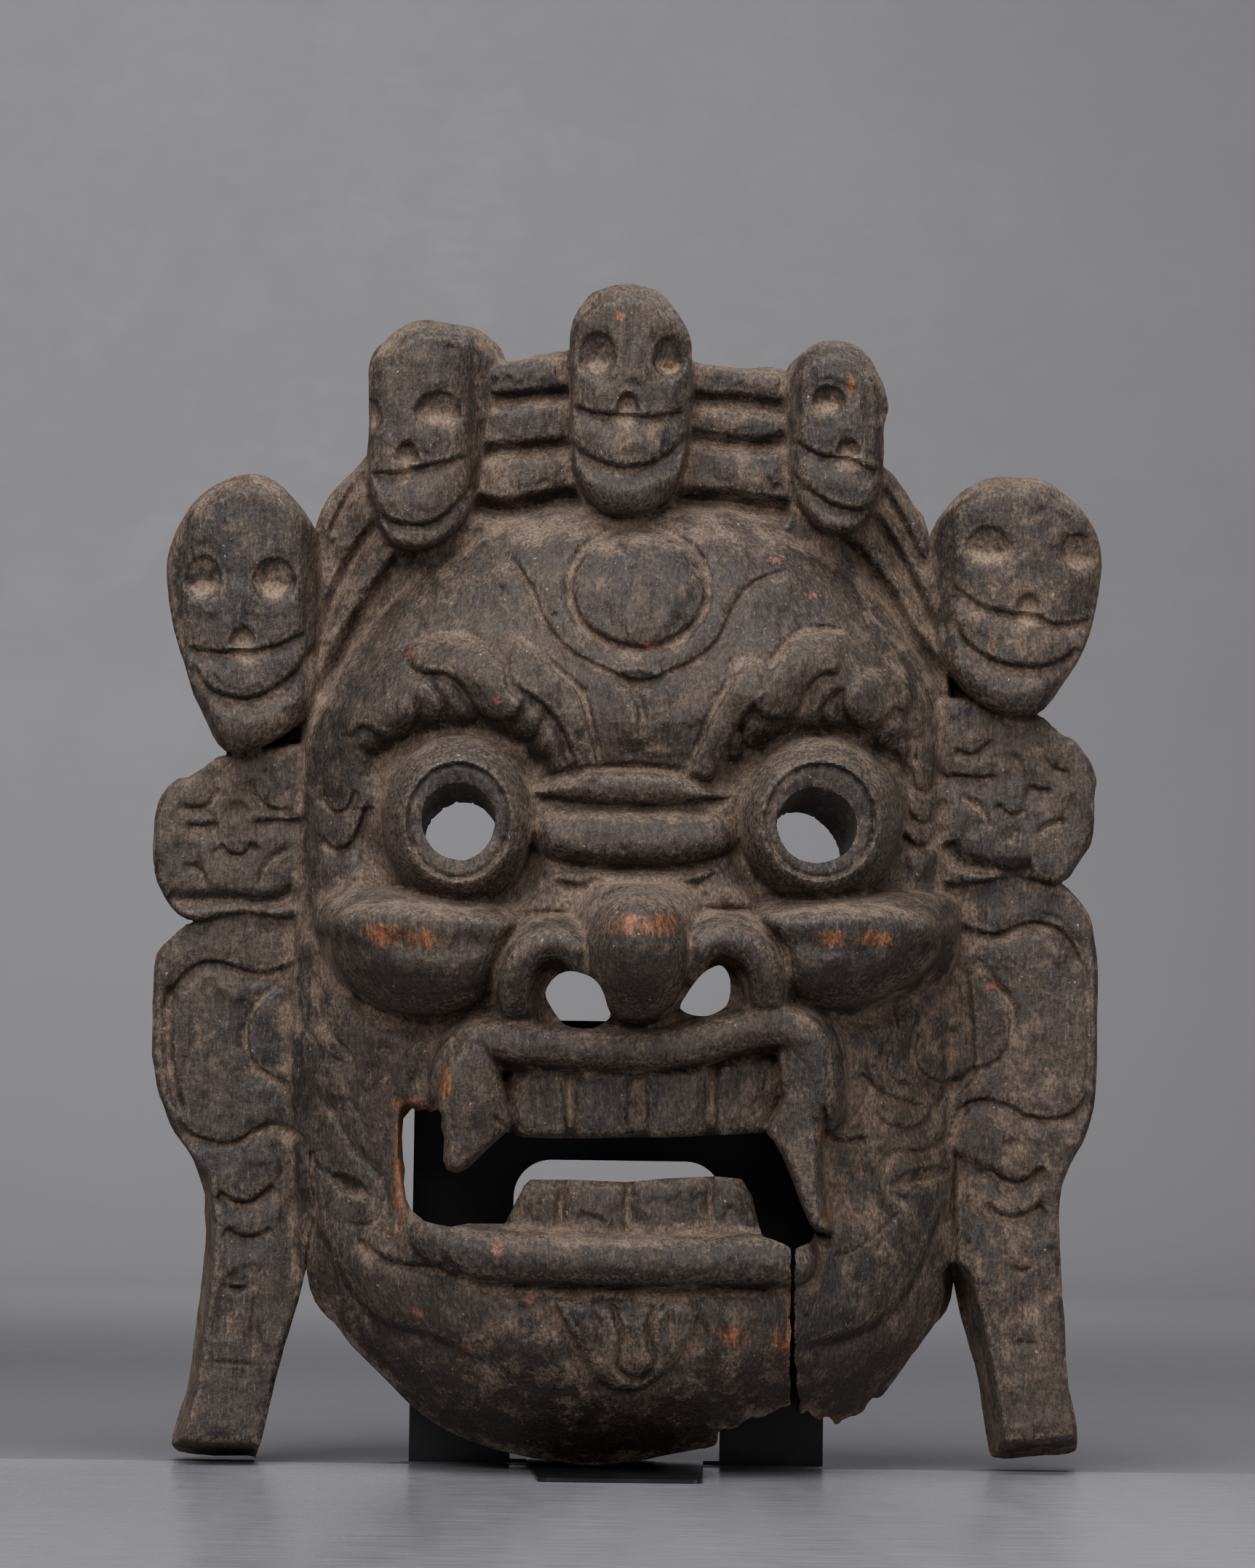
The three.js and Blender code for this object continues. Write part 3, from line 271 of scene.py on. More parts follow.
def knob(cx, cz, rx, rz, top, drop, blend, lean=0.0):
    """Round boss blended into what is there."""
    w, u, v = spot(cx, cz, rx, rz)
    r = np.hypot(u, v)
    t = np.where(r < 1, top - drop * (1 - np.sqrt(np.clip(1 - r * r, 0, 1))), top - drop - 60 * (r - 1))
    H[w] = smooth_max(H[w], t + lean * v, blend)


def scoop(cx, cz, rx, rz, height):
    """Small round bump, or a dent where the height is negative."""
    w, u, v = spot(cx, cz, rx, rz)
    H[w] += height * np.clip(1 - u * u - v * v, 0, 1) ** 0.8


def spoon(cx, cz, rx, rz, depth, crease, turn=0.0):
    """Scoop of two planes that meet in a crease: one leans in from above, one leans out below."""
    w, u, v = spot(cx, cz, rx, rz, turn)
    half = np.sqrt(np.clip(1 - u * u, 0, 1)) + 1e-6
    upper = 0.3 + 0.7 * (half - v) / (half * (1 - crease))
    lower = (v + half) / (half * (1 + crease))
    rim = np.clip((1 - np.hypot(u, v)) / 0.07, 0, 1)
    H[w] -= depth * np.clip(np.minimum(upper, lower), 0, 1) * rim * half ** 0.6


def bevel(points, width, floor):
    """Slopes the ground down to a floor at a line."""
    w, d, _, _ = nearest(curve(points), width)
    cut = (d < width) & (H[w] > floor)
    H[w] = np.where(cut, floor + (H[w] - floor) * np.clip(d / width, 0, 1), H[w])


# Outlines of the parts of the mask, as the eye sees them
LOBE_LEFT = [
    (-110, 206), (-140, 204.5), (-157, 200.5), (-166, 194), (-172, 185), (-172.9, 160), (-171, 140),
    (-165, 124), (-154, 104), (-151.5, 85), (-153, 60), (-157, 28), (-162, 9), (-160, 3), (-152, 1.6),
    (-134, 1.4), (-130, 3), (-123, 36), (-113.5, 71), (-110, 120)]
LOBE_RIGHT = [
    (116, 222), (148, 223), (165, 219.5), (176, 209), (180, 195), (180.8, 165), (180, 138), (176, 123),
    (169, 108), (167, 90), (168.5, 65), (171, 35), (174.5, 12), (172, 6.5), (160, 5), (145, 4), (141, 9),
    (137, 34), (128, 69.5), (122, 120)]
ROSETTE_LEFT = [
    (-106, 263), (-145, 262.5), (-153, 259.5), (-160, 254), (-167, 251.5), (-172, 244), (-173.9, 232),
    (-173, 218), (-168, 206.5), (-158.5, 199.5), (-140, 203), (-106, 205)]
ROSETTE_RIGHT = [
    (112, 283), (150, 284.5), (158.5, 281.5), (165, 276), (173, 271), (178.5, 262), (179.5, 250),
    (178, 236), (173, 226), (165.5, 218.5), (150, 221), (112, 222)]
HOLLOW_LEFT = [(-143, 259), (-140, 274), (-120, 302), (-104, 322), (-98, 290), (-102, 257)]
HOLLOW_RIGHT = [(110, 272), (110, 318), (122, 320), (132, 296), (152, 288), (152, 276)]
CROWN_BAND = [
    (-115, 350), (-99, 373), (-80, 395), (-56, 410.5), (-40, 413.5), (-20, 417.5), (0, 418), (25, 414),
    (45, 411.5), (62, 410), (85, 390), (98.5, 375.5), (104, 370), (109.5, 361), (116, 349.5), (124, 300),
    (122, 230), (60, 250), (-60, 250), (-116, 220), (-119, 290)]
FACE = [
    (-113, 150), (-113.5, 71), (-100.5, 48), (-83, 29.5), (-66, 14.5), (-45, 5.5), (-24, 1.2), (-8, -0.6),
    (3, -0.6), (20, 3.5), (38, 7), (40.5, 12), (43, 13.4), (47, 14), (52, 17.4), (58, 18.2), (64, 21.6),
    (68.5, 22.5), (71, 19.6), (74, 20.2), (77.5, 17), (81, 18.6), (84.5, 15.6), (88, 18.2), (93, 19.6),
    (97, 24.6), (103, 28.5), (117, 48), (127.5, 70), (127, 150), (125, 300), (60, 350), (-60, 350),
    (-118, 290)]
SKULLS = [
    dict(line=[(-20.5, 410), (-20.5, 427), (-14, 438), (-4, 442.6), (4, 443), (14, 438.8), (23, 427),
        (25.3, 415), (24.5, 385), (21, 368), (13, 358), (2, 355), (-9, 357.5), (-17, 368), (-20, 385)],
        top=84, middle=1.5, half=22, bend=8, crown=443, chin=356, sides=[(-18, -1, 0.6), (21.5, 1, 0.8)],
        sockets=[(-10.3, 415, 7.4, 9.6, -0.35), (17, 414.8, 6.6, 8.6, -0.45)], nose=(1.3, 394.5, 4.4, 7.6),
        cut=[(-19, 398), (-14, 395.5), (-9, 394.3), (-3.5, 394.3), (5.5, 393.6), (11, 393.3), (17, 394.5),
            (23, 396.5)],
        smile=[(-19, 384), (-15, 380), (-10, 377), (-4, 375.2), (2, 374.7), (8, 375.5), (13, 377.3),
            (18, 381), (23, 387.5)]),
    dict(line=[(-96, 390), (-96, 411), (-90, 420.5), (-78, 427.5), (-64, 426.5), (-53, 423), (-45, 414),
        (-46, 404), (-52, 380), (-56, 358), (-66, 345), (-78, 340.5), (-89, 345), (-95.5, 365)],
        top=77, middle=-79, half=19, bend=6, crown=427, chin=341, sides=[(-60, 1, 1.1), (-92, -1, 0.5)],
        sockets=[(-70, 393.3, 9.2, 7.8, -0.2), (-95.5, 390, 4.4, 7, -0.2)], nose=(-81.5, 374, 4.8, 8.4),
        cut=[(-96, 371), (-90, 370.5), (-85, 370.5), (-76, 373), (-70, 374.3), (-65, 375.6), (-59, 377.5)],
        smile=[(-94.5, 363), (-91, 357), (-88, 353.6), (-84, 352), (-78, 351.3), (-73, 352), (-69, 354),
            (-65, 357.5), (-61, 362), (-57, 367)]),
    dict(line=[(61, 390), (60.5, 409), (67, 418), (77, 423), (88, 420.5), (96, 411), (99.5, 399),
        (98.3, 390), (98.5, 378), (96, 363), (90, 352.5), (81, 349), (72, 353), (64, 366)],
        top=77, middle=82, half=17, bend=6, crown=422, chin=350, sides=[(68, -1, 1.1), (94, 1, 0.7)],
        sockets=[(77.3, 399.5, 6.6, 6.2, -0.2), (98.5, 395, 3, 4.6, -0.2)], nose=(85, 379.5, 4.8, 6.4),
        cut=[(63.5, 385.5), (68, 383.5), (71, 381.5), (75, 380), (80, 379.4), (88, 378), (92, 375.5),
            (98.5, 374.5)],
        smile=[(63, 375.5), (67, 370.5), (70, 367.5), (75, 364), (80, 361.5), (86, 360), (91, 360.3),
            (95, 362.5), (98, 367)]),
    dict(line=[(-171, 332), (-167, 348), (-157, 361.5), (-141, 368.5), (-129, 364.5), (-115, 347),
        (-112, 320), (-111, 292), (-120, 274), (-145, 262.5), (-158, 281), (-166.5, 305)],
        top=60, middle=-142, half=26, bend=7, crown=368, chin=272, sides=[(-162, -1, 0.8), (-121, 1, 0.8)],
        sockets=[(-157.3, 328.2, 7.2, 9, -0.4), (-130.4, 327.6, 8.5, 9.4, -0.15)],
            nose=(-142, 303.5, 4.9, 7.6),
        cut=[(-162, 303.5), (-156, 302.2), (-150, 301.8), (-146, 302), (-138, 302.6), (-132, 303.7),
            (-127, 305.5), (-119, 310)],
        smile=[(-159, 297), (-156, 291), (-153, 288), (-149, 286), (-144, 284.8), (-139, 285), (-133, 287),
            (-127, 291), (-122, 296), (-116, 305)]),
    dict(line=[(115.5, 335), (116.5, 350.5), (126, 364.5), (137, 371), (150, 372), (162, 369.5), (175, 358),
        (180.8, 343), (176.5, 312), (166, 292), (156, 282), (138, 284), (124, 297), (117, 315)],
        top=62, middle=150, half=28, bend=8, crown=372, chin=288, sides=[(127, -1, 0.8), (175, 1, 0.9)],
        sockets=[(138.4, 345.4, 9, 8, -0.35), (172.4, 343.3, 7.4, 8, -0.4)], nose=(153.5, 321.5, 4.6, 7),
        cut=[(126, 331), (131, 327), (135, 324.5), (140, 322.5), (148, 321.3), (157, 320.5), (161, 318.3),
            (166, 317.2), (178, 319.5)],
        smile=[(126.5, 320), (128.5, 313.5), (131, 310), (135, 306.5), (140, 303.8), (145, 302.2),
            (152, 301.3), (158, 301.5), (164, 303.3), (172, 309)])]

# Face shield by height: left and right edge, depth on the middle line, depth at the edge
LEFT_EDGE = [
    (0, -60), (12, -78), (30, -97), (48, -110), (72, -121), (150, -123), (270, -120), (293, -110),
    (318, -92), (332, -80), (347, -64), (356, -45), (380, -45)]
RIGHT_EDGE = [
    (0, 62), (12, 88), (30, 108), (48, 122), (72, 128), (150, 127), (290, 122), (303, 116), (318, 104),
    (332, 92), (347, 76), (356, 60), (380, 60)]
MIDDLE_DEPTH = [
    (-3, 46), (1, 56), (6, 66), (14, 78), (25, 90), (40, 101), (55, 105), (80, 103), (100, 96), (130, 98),
    (150, 102), (180, 104), (210, 102), (240, 97), (262, 99), (280, 101), (300, 97), (330, 89), (345, 80),
    (356, 66), (364, 55), (450, 50)]
EDGE_DEPTH = [(-3, 4), (20, 14), (60, 26), (90, 32), (150, 36), (250, 38), (450, 38)]


def by_height(table, soft=5):
    """Value of a table at each row, softened so that its knots don't show."""
    v = np.interp(Z_LINE, [t[0] for t in table], [t[1] for t in table])
    n = int(soft * 2.5 / STEP)
    k = np.exp(-0.5 * (np.arange(-n, n + 1) * STEP / soft) ** 2)
    return np.convolve(np.pad(v, n, mode="edge"), k / k.sum(), "valid")[:, None]


GROUND = 30
BAND_TOP = 44
BAND_ARCH = 14
FACE_TOP = 358
JAW_TOP = 100


def carve_ground():
    """Crown band and face shield on a level ground. Under the jaw the shield alone counts."""
    H[:] = GROUND
    w, s = inside(curve(CROWN_BAND, True), 3)
    top = BAND_TOP + BAND_ARCH * smooth(-np.abs(X[w]), -110, -60) - 7 * (1 - dome(np.clip(s / 5, 0, 1)))
    H[w] = np.where(s > 0, np.maximum(H[w], top), H[w])
    left, right = by_height(LEFT_EDGE), by_height(RIGHT_EDGE)
    q = np.abs(X - (left + right) / 2) / ((right - left) / 2)
    rim = by_height(EDGE_DEPTH)
    top = rim + (by_height(MIDDLE_DEPTH, 4) - rim) * (1 - np.clip(q, 0, 1) ** 2.6) ** 0.6
    face = (q < 1) & (Z < FACE_TOP)
    H[:] = np.where(face, np.where(Z > JAW_TOP, np.maximum(H, top), top), H)


def carve_crown():
    """Strips of the crown band between the skulls and down both sides of the forehead."""
    for path, left, right, depth in [
            ([(-60, 393.5), (-50, 397.5), (-42, 398.5), (-35, 399.5), (-28, 400.2), (-17, 401.3)],
                3.4, 5, 6.5),
            ([(-58, 377), (-48, 378.5), (-40, 379), (-30, 380), (-17, 381.5)], 4, 4.4, 6.5),
            ([(-58, 358.5), (-48, 356), (-40, 356.5), (-33, 358), (-27, 359.5), (-16, 361.5)], 5.5, 6, 10),
            ([(21, 400), (30, 399), (40, 398.8), (50, 398), (63, 396)], 4, 5, 6.5),
            ([(22, 386), (32, 383.5), (40, 382.8), (48, 382), (55, 382.5), (63, 385)], 4.5, 4.4, 6.5),
            ([(19, 362), (30, 361), (40, 360.8), (50, 359), (63, 357.5)], 5.5, 6, 10)]:
        fold(path, left, right, depth, 0.02)
    for path, left, right, depth in [
            ([(-97, 370), (-102, 362), (-107, 353), (-110, 345)], 3, 2, 3),
            ([(-88, 354), (-95, 345), (-101, 336), (-106, 326), (-110, 316), (-113, 305)], 4.5, 4, 6),
            ([(-76, 344), (-86, 332), (-93, 321), (-99, 311), (-104, 302), (-108, 292), (-111, 280)],
                4, 5, 8),
            ([(96, 368), (101, 361), (106, 352), (111, 343), (116, 334)], 3, 4, 4),
            ([(92, 358), (98, 350), (104, 341), (109, 331), (113, 322), (118, 312)], 4, 5, 6.5),
            ([(82, 348), (92, 336), (99, 327), (105, 318), (110, 309), (116, 301), (121, 292)], 5, 3.5, 8)]:
        fold(path, left, right, depth)
    for path in [
            [(-116, 349), (-115.5, 333), (-115, 315), (-114, 298)],
            [(117, 349), (120, 335), (121, 320), (121, 305)]]:
        groove(path, 4, 5)


SOCKET_DEPTH = 5.4
NOSE_DEPTH = 4.2


def carve_skull(s):
    """Raised slab with sockets, a nose arch, a cut under the cheeks and a smile."""
    line = curve(s["line"], True)
    w, d = inside(line, 3)
    x, z = X[w], Z[w]
    top = s["top"] - s["bend"] * np.clip(np.abs(x - s["middle"]) / s["half"], 0, 1.2) ** 2.6
    for edge_x, side, slope in s["sides"]:
        top -= slope * np.clip(side * (x - edge_x), 0, None)
    crown = smooth(z, s["crown"] - 20, s["crown"] - 8)
    chin = smooth(-z, -s["chin"] - 22, -s["chin"] - 4)
    width = 2.6 + 3.8 * crown + 6 * chin
    q = np.clip(d / width, 0, 1)
    top -= width * (crown * (1 - q) * 1.1 + (1 - crown) * (1 - dome(q)))
    H[w] = np.where(d > 0, np.maximum(H[w], top), H[w])
    for cx, cz, rx, rz, crease in s["sockets"]:
        spoon(cx, cz, rx, rz, SOCKET_DEPTH, crease)
    step(s["cut"], 4, 7.5, 1.3, region=line)
    step(s["smile"], 4.4, 7.5, 1.7, region=line)
    cx, cz, rx, rz = s["nose"]
    w, u, v = spot(cx, cz, rx, rz)
    arch = np.clip((1 - np.hypot(u, v)) / 0.25, 0, 1) * (v > 0)
    H[w] -= NOSE_DEPTH * arch


NOTCH_DEPTH = 4.2


def carve_sides():
    """Rosettes and hanging lobes with the scrolls cut into them."""
    pad(ROSETTE_LEFT, 47, 3.5, 3.5)
    pad(ROSETTE_RIGHT, 49, 3.5, 3.5)
    steps([
        ([(-163, 243.8), (-158, 243), (-154, 244.5), (-150.5, 250)], 2.6, 4),
        ([(-136.5, 253.5), (-135, 248), (-132, 244.5), (-128, 242.7), (-124, 243)], 2.6, 4),
        ([(-148, 229.5), (-145, 226.3), (-142, 225.5), (-139.5, 226.8), (-138, 230)], 3, 8),
        ([(-161, 236.8), (-156, 236.4), (-150, 237)], 3, 7),
        ([(-136.5, 237.8), (-130, 238.8), (-124, 238.6), (-116, 239)], 3, 8),
        ([(-162.5, 221.6), (-158, 221), (-154.5, 218.3), (-153.3, 213)], 2.4, 4),
        ([(127.5, 269), (131, 267.5), (135, 268.5), (139, 273)], 2.6, 4),
        ([(160, 270.5), (160.7, 266.5), (163, 263.5), (166, 262), (170, 261.3)], 2.4, 4),
        ([(143.6, 249), (146, 246), (149, 245.3), (152.5, 246.8)], 2.6, 5),
        ([(121, 258.7), (128, 259.4), (134, 259), (142, 259.3)], 3, 7.5),
        ([(154, 256), (158, 255), (163, 254.5)], 2.6, 7)])
    steps([
        ([(-131.8, 213.5), (-131, 218), (-128, 222), (-122, 226.3)], 2.4, 4),
        ([(127.5, 249.5), (132, 247), (136, 243), (139, 237.5)], 2.4, 4),
        ([(159.5, 236), (163, 239), (169, 240.3)], 2.4, 4)], LEFT)
    for cx, cz, rx, rz in [(-143, 241, 4.4, 4.6), (148.5, 262.5, 3, 5.4), (148, 236, 4, 5)]:
        scoop(cx, cz, rx, rz, -1.8)
    fold([(-168, 207), (-158, 207), (-145, 208), (-130, 207), (-119, 211)], 5, 4, 4, 0.02)
    fold([(123, 233), (127, 226.5), (134, 223.8), (144, 222.5), (156, 223)], 6, 3, 5, 0.02)
    pad(LOBE_LEFT, 43, 3, 3)
    pad(LOBE_RIGHT, 43, 3, 3)
    bevel([(128, 69.5), (131, 60), (134.5, 45), (137.5, 30), (141, 10)], 6.5, 12)
    bevel([(-154, 104), (-151.5, 85), (-153, 60), (-157, 28), (-162, 9)], 3.5, 14)
    bevel([(141, 8), (145, 4), (160, 5), (172, 6.5)], 6, 18)
    bevel([(-160, 3), (-152, 1.6), (-134, 1.4)], 4.5, 18)
    steps([
        ([(-168, 170), (-166, 175), (-162, 180), (-157, 184), (-152, 185.3), (-147, 185), (-141, 183),
            (-135, 181.5), (-129, 182), (-122, 184.5), (-113, 188)], 3.4, 5.5),
        ([(-162, 126), (-157, 121), (-152, 119), (-147, 118), (-142, 118.3), (-138, 120), (-133, 123.5),
            (-128, 125), (-123, 124.5), (-119, 122.5), (-112, 119)], 3.2, 5.5),
        ([(-120, 178.5), (-126, 174.5), (-131, 170), (-134.5, 165), (-136.5, 159), (-136, 152),
            (-133.5, 147), (-129, 143.5), (-124, 141), (-117.5, 139.2)], 2.4, 5),
        ([(124, 205.5), (130, 202.5), (136, 200.5), (142, 200), (148, 202), (153, 204), (158, 204.5),
            (163, 203.5), (168, 200.5), (172, 195.5), (175.5, 187)], 3.8, 6.5),
        ([(123.5, 122), (125.5, 128), (128, 133), (132, 136.5), (137, 138), (142, 137.8), (147, 136),
            (152, 133.3), (158, 131.5), (164, 131), (169, 132), (173, 135), (177.5, 142)], 3.4, 5.5),
        ([(-146, 100), (-142, 96.8), (-138, 95.8), (-134, 96.8), (-130, 100), (-127.5, 102.5)], 4.2, 8),
        ([(-143, 86.5), (-139.5, 84), (-135, 83.2), (-131, 84.2), (-128, 86.5)], 2.8, 7),
        ([(141.5, 113.5), (144, 110), (148, 107.8), (152, 107.8), (156, 109.8), (160, 113.5)], 5, 9),
        ([(141, 99.5), (144, 96), (148, 94.8), (152, 95), (156, 96.8), (159.5, 99.5)], 4.4, 8)])
    steps([
        ([(133, 187), (139, 183), (143, 178), (146.5, 172), (147.5, 165), (146.5, 158), (143, 153),
            (138, 150.5), (133, 149.8)], 2.2, 5)], LEFT)
    grooves([
        ([(-166.5, 176), (-167, 165), (-166.5, 150), (-164.5, 138), (-161, 127)], 3.4, 2.8),
        ([(174.8, 190), (176.8, 178), (177.6, 160), (177.4, 148), (176.8, 140)], 1.8, 1.6),
        ([(-119, 180), (-118, 160), (-117.6, 139)], 1.8, 1.8), ([(-115, 176), (-114.6, 150)], 1.4, 1.2),
        ([(131.4, 188), (132.4, 168), (134, 149)], 2.2, 2.4),
        ([(136, 149), (131, 143), (127, 139.5)], 1.8, 2.6),
        ([(-142.3, 60), (-142.3, 47), (-142, 37)], 1.6, 1.2),
        ([(-132.5, 60), (-132.8, 47), (-133, 37)], 1.6, 1.2),
        ([(-148, 35.6), (-143, 35.8), (-138, 35), (-133, 35.3)], 1.2, 1.2),
        ([(-146.5, 64), (-143, 64), (-131, 63.2)], 1.0, 0.9),
        ([(152.2, 70), (152.4, 58), (153, 48)], 1.6, 1.3),
        ([(158.6, 70), (158.8, 58), (158.8, 48)], 1.4, 0.8), ([(151, 47), (159, 46.6)], 1.2, 1.0),
        ([(-147.5, 58), (-147, 50), (-147.5, 44)], 2.4, 1.2)], 0.08)
    for cx, cz, half, fall in [(-139.5, 64, 4.4, 4.2), (153, 75, 4.8, 4.6)]:
        w, u, v = spot(cx, cz, half, fall)
        notch = (v < 0) & (np.abs(u) < 1 + v)
        H[w] -= np.where(notch, NOTCH_DEPTH * (1 + v) ** 0.5 * np.clip((1 + v - np.abs(u)) / 0.5, 0, 1), 0)
    for cx, cz in [(143, 136), (154.5, 132)]:
        scoop(cx, cz, 1.5, 1.5, 1.8)
    groove([(139, 181), (143, 179.5), (147, 176)], 2.2, 1.8)


def carve_brows():
    """Swollen brows, hollows round the eyes and the curled leaves over them."""
    swell([(-104, 268), (-92, 280), (-75, 292), (-58, 296), (-42, 290), (-28, 276)], 17, 8)
    swell([(112, 272), (100, 284), (85, 296), (70, 298), (55, 292), (42, 278)], 17, 8)
    swell([(-92, 252), (-88, 262), (-75, 270), (-60, 272.5), (-45, 270), (-34, 262), (-27, 251)], 7, -10)
    swell([(107, 254), (101, 263), (88, 270), (74, 271.5), (58, 269), (46, 262), (38, 252)], 7, -10)
    swell([(-92, 240), (-91, 222), (-80, 209), (-62, 204), (-44, 208), (-34, 220), (-33, 240)], 7, -10)
    swell([(106, 240), (104, 222), (92, 210), (76, 206), (60, 209), (48, 222), (46, 240)], 7, -10)
    swell([(7, 300), (6, 285), (7, 268)], 14, 4)
    for leaf, height, round_ in [
            ([(-79, 303), (-72, 306.5), (-65, 308), (-57, 306.5), (-49, 302.5), (-43.5, 297), (-42, 289),
                (-37, 283), (-41, 278.5), (-47, 277.5), (-52, 280), (-57, 287), (-63, 293), (-70, 294.5),
                (-76, 296)], 2.2, 2.5),
            ([(82, 311), (75, 311.5), (68, 310), (61, 304), (57, 296), (53, 290), (50.5, 285), (54, 280.5),
                (60, 279.5), (65, 281), (68, 286), (71, 292), (77, 297), (83, 299)], 2.4, 3),
            ([(-38.5, 308), (-30, 301), (-21.5, 293.5), (-15.5, 287.5), (-10.5, 272), (-7, 257),
                (-14, 255.5), (-17.5, 265), (-22, 275), (-28.5, 283), (-34, 287), (-41, 292), (-42, 300)],
                2.2, 2.5),
            ([(48.5, 302.5), (41.5, 292), (36, 282), (28, 264), (25, 256.5), (34, 255.5), (38, 262),
                (42, 271), (46, 278.5), (50, 284), (54.5, 288), (53, 295)], 2.2, 2.5),
            ([(-102, 271.5), (-99.5, 279), (-94, 283.5), (-88, 285.7), (-81, 285), (-77.5, 281), (-77, 275),
                (-80, 271.5), (-86, 269.8), (-91, 271.5), (-95.5, 274.5)], 1.6, 3),
            ([(86, 290), (89, 295), (94, 297.5), (101, 297.2), (107, 294), (109.5, 288), (107, 283),
                (104, 284), (101, 281), (98, 277.5), (93, 276), (89, 277.8), (86, 281), (84.5, 286)],
                2.6, 3.5)]:
        puff(leaf, height, round_)
    steps([
        ([(-79.5, 301), (-78.5, 297.5), (-76, 295.5), (-72, 294.5), (-68, 295), (-64, 293.5), (-60, 291),
            (-57, 287), (-54, 282), (-51, 279), (-47, 277.5), (-43, 277.5), (-40, 279), (-38, 281.5),
            (-36, 286)], 3.6, 5),
        ([(-68.5, 275), (-67.6, 280), (-69, 285), (-73.5, 290.5)], 2.8, 4.5),
        ([(-104, 271.8), (-100.5, 270.8), (-98, 273.5), (-95.5, 274.5), (-93, 273), (-90, 271),
            (-86, 269.8), (-82, 270), (-79, 272.5), (-77, 276), (-76.3, 280), (-78.5, 285.5)], 2.4, 4),
        ([(-110, 248), (-108, 243.5), (-105, 242), (-102, 243.7), (-99.5, 250)], 3.2, 5),
        ([(-109.5, 232), (-107, 228.8), (-103, 228.6), (-99.5, 232), (-97, 238), (-95.6, 244)], 4, 6),
        ([(-91, 247), (-90.8, 254), (-93, 260), (-99, 265)], 2.2, 5),
        ([(-34.5, 287.5), (-28.3, 282.8), (-21.6, 274.5), (-17.4, 264.4), (-14, 254)], 3.6, 4.5),
        ([(-38, 269.5), (-33.5, 271), (-31, 273.6), (-29.8, 278)], 2.6, 4),
        ([(50.2, 284.5), (53, 281.5), (57, 279.5), (61, 279.5), (65, 281), (67.5, 284), (69, 288),
            (71, 292), (74, 295), (77, 296.5), (82, 296.6)], 3.6, 5),
        ([(33, 254), (36, 258.5), (39, 266), (42, 272.5), (46, 279), (50.5, 284.5)], 3.6, 4.5),
        ([(76.8, 273), (74.3, 279), (75.5, 284.5), (80.5, 289.5)], 2.8, 4),
        ([(85, 291), (84.2, 285.5), (86, 281), (89, 277.8), (93, 276), (97, 276.5), (100, 279.5),
            (102, 282.5), (104.5, 284.3), (106, 282.8), (108, 282.5), (109.5, 286)], 3.4, 5),
        ([(101, 274.5), (104.5, 273.3), (107, 272.8), (109.5, 275), (110.2, 280)], 2.6, 4),
        ([(46.5, 277), (47, 271.5), (50, 268.5), (55, 268)], 3, 4.5),
        ([(110.8, 262), (111.3, 256.5), (113, 253.8), (115.5, 253), (117.5, 255.5), (118.5, 262)], 3.4, 5),
        ([(109.5, 251), (110, 245.5), (112, 242.5), (115, 241.5), (118, 243), (119.8, 250)], 3.2, 4.5),
        ([(104.5, 244), (106.5, 238.5), (109.5, 235), (113, 232.7), (117, 234.5), (119.5, 241)], 4, 5),
        ([(104, 257), (107, 264), (107.8, 269.5), (104, 273)], 2, 4)])
    groove([(110.6, 288), (110.5, 275), (110.8, 262)], 1.8, 2.2)
    groove([(32.5, 275), (29.5, 267), (25.5, 257)], 1.2, 1.6)
    groove([(-38.5, 309), (-30, 302), (-21.5, 294.5), (-14.8, 288), (-10, 273), (-6.5, 257)], 2.2, 1.8)
    groove([(48.5, 304), (41, 293), (35.4, 282.5), (27.3, 265)], 2.2, 1.8)
    groove([(-81, 305), (-72, 308), (-64, 309.5), (-55, 308), (-48, 304), (-42, 298)], 2.2, 1.8)
    groove([(84, 312), (75, 313.3), (67, 311.5), (60, 305), (56, 297)], 2.6, 2.2)
    groove([(120.5, 299), (122, 290), (124.5, 281)], 0.9, 1.2)
    groove([(-84, 267), (-86, 262.8)], 1.0, 1.6)


# Third eye: its boss and the pupil on it, as middle and half sizes, with their heights
THIRD_EYE = (6.5, 327.5, 25.5, 22.5)
PUPIL = (9, 329, 18, 18.5)
BOSS_HEIGHT = 2.4
PUPIL_HEIGHT = 1.2
RING_DEPTH = 3.2


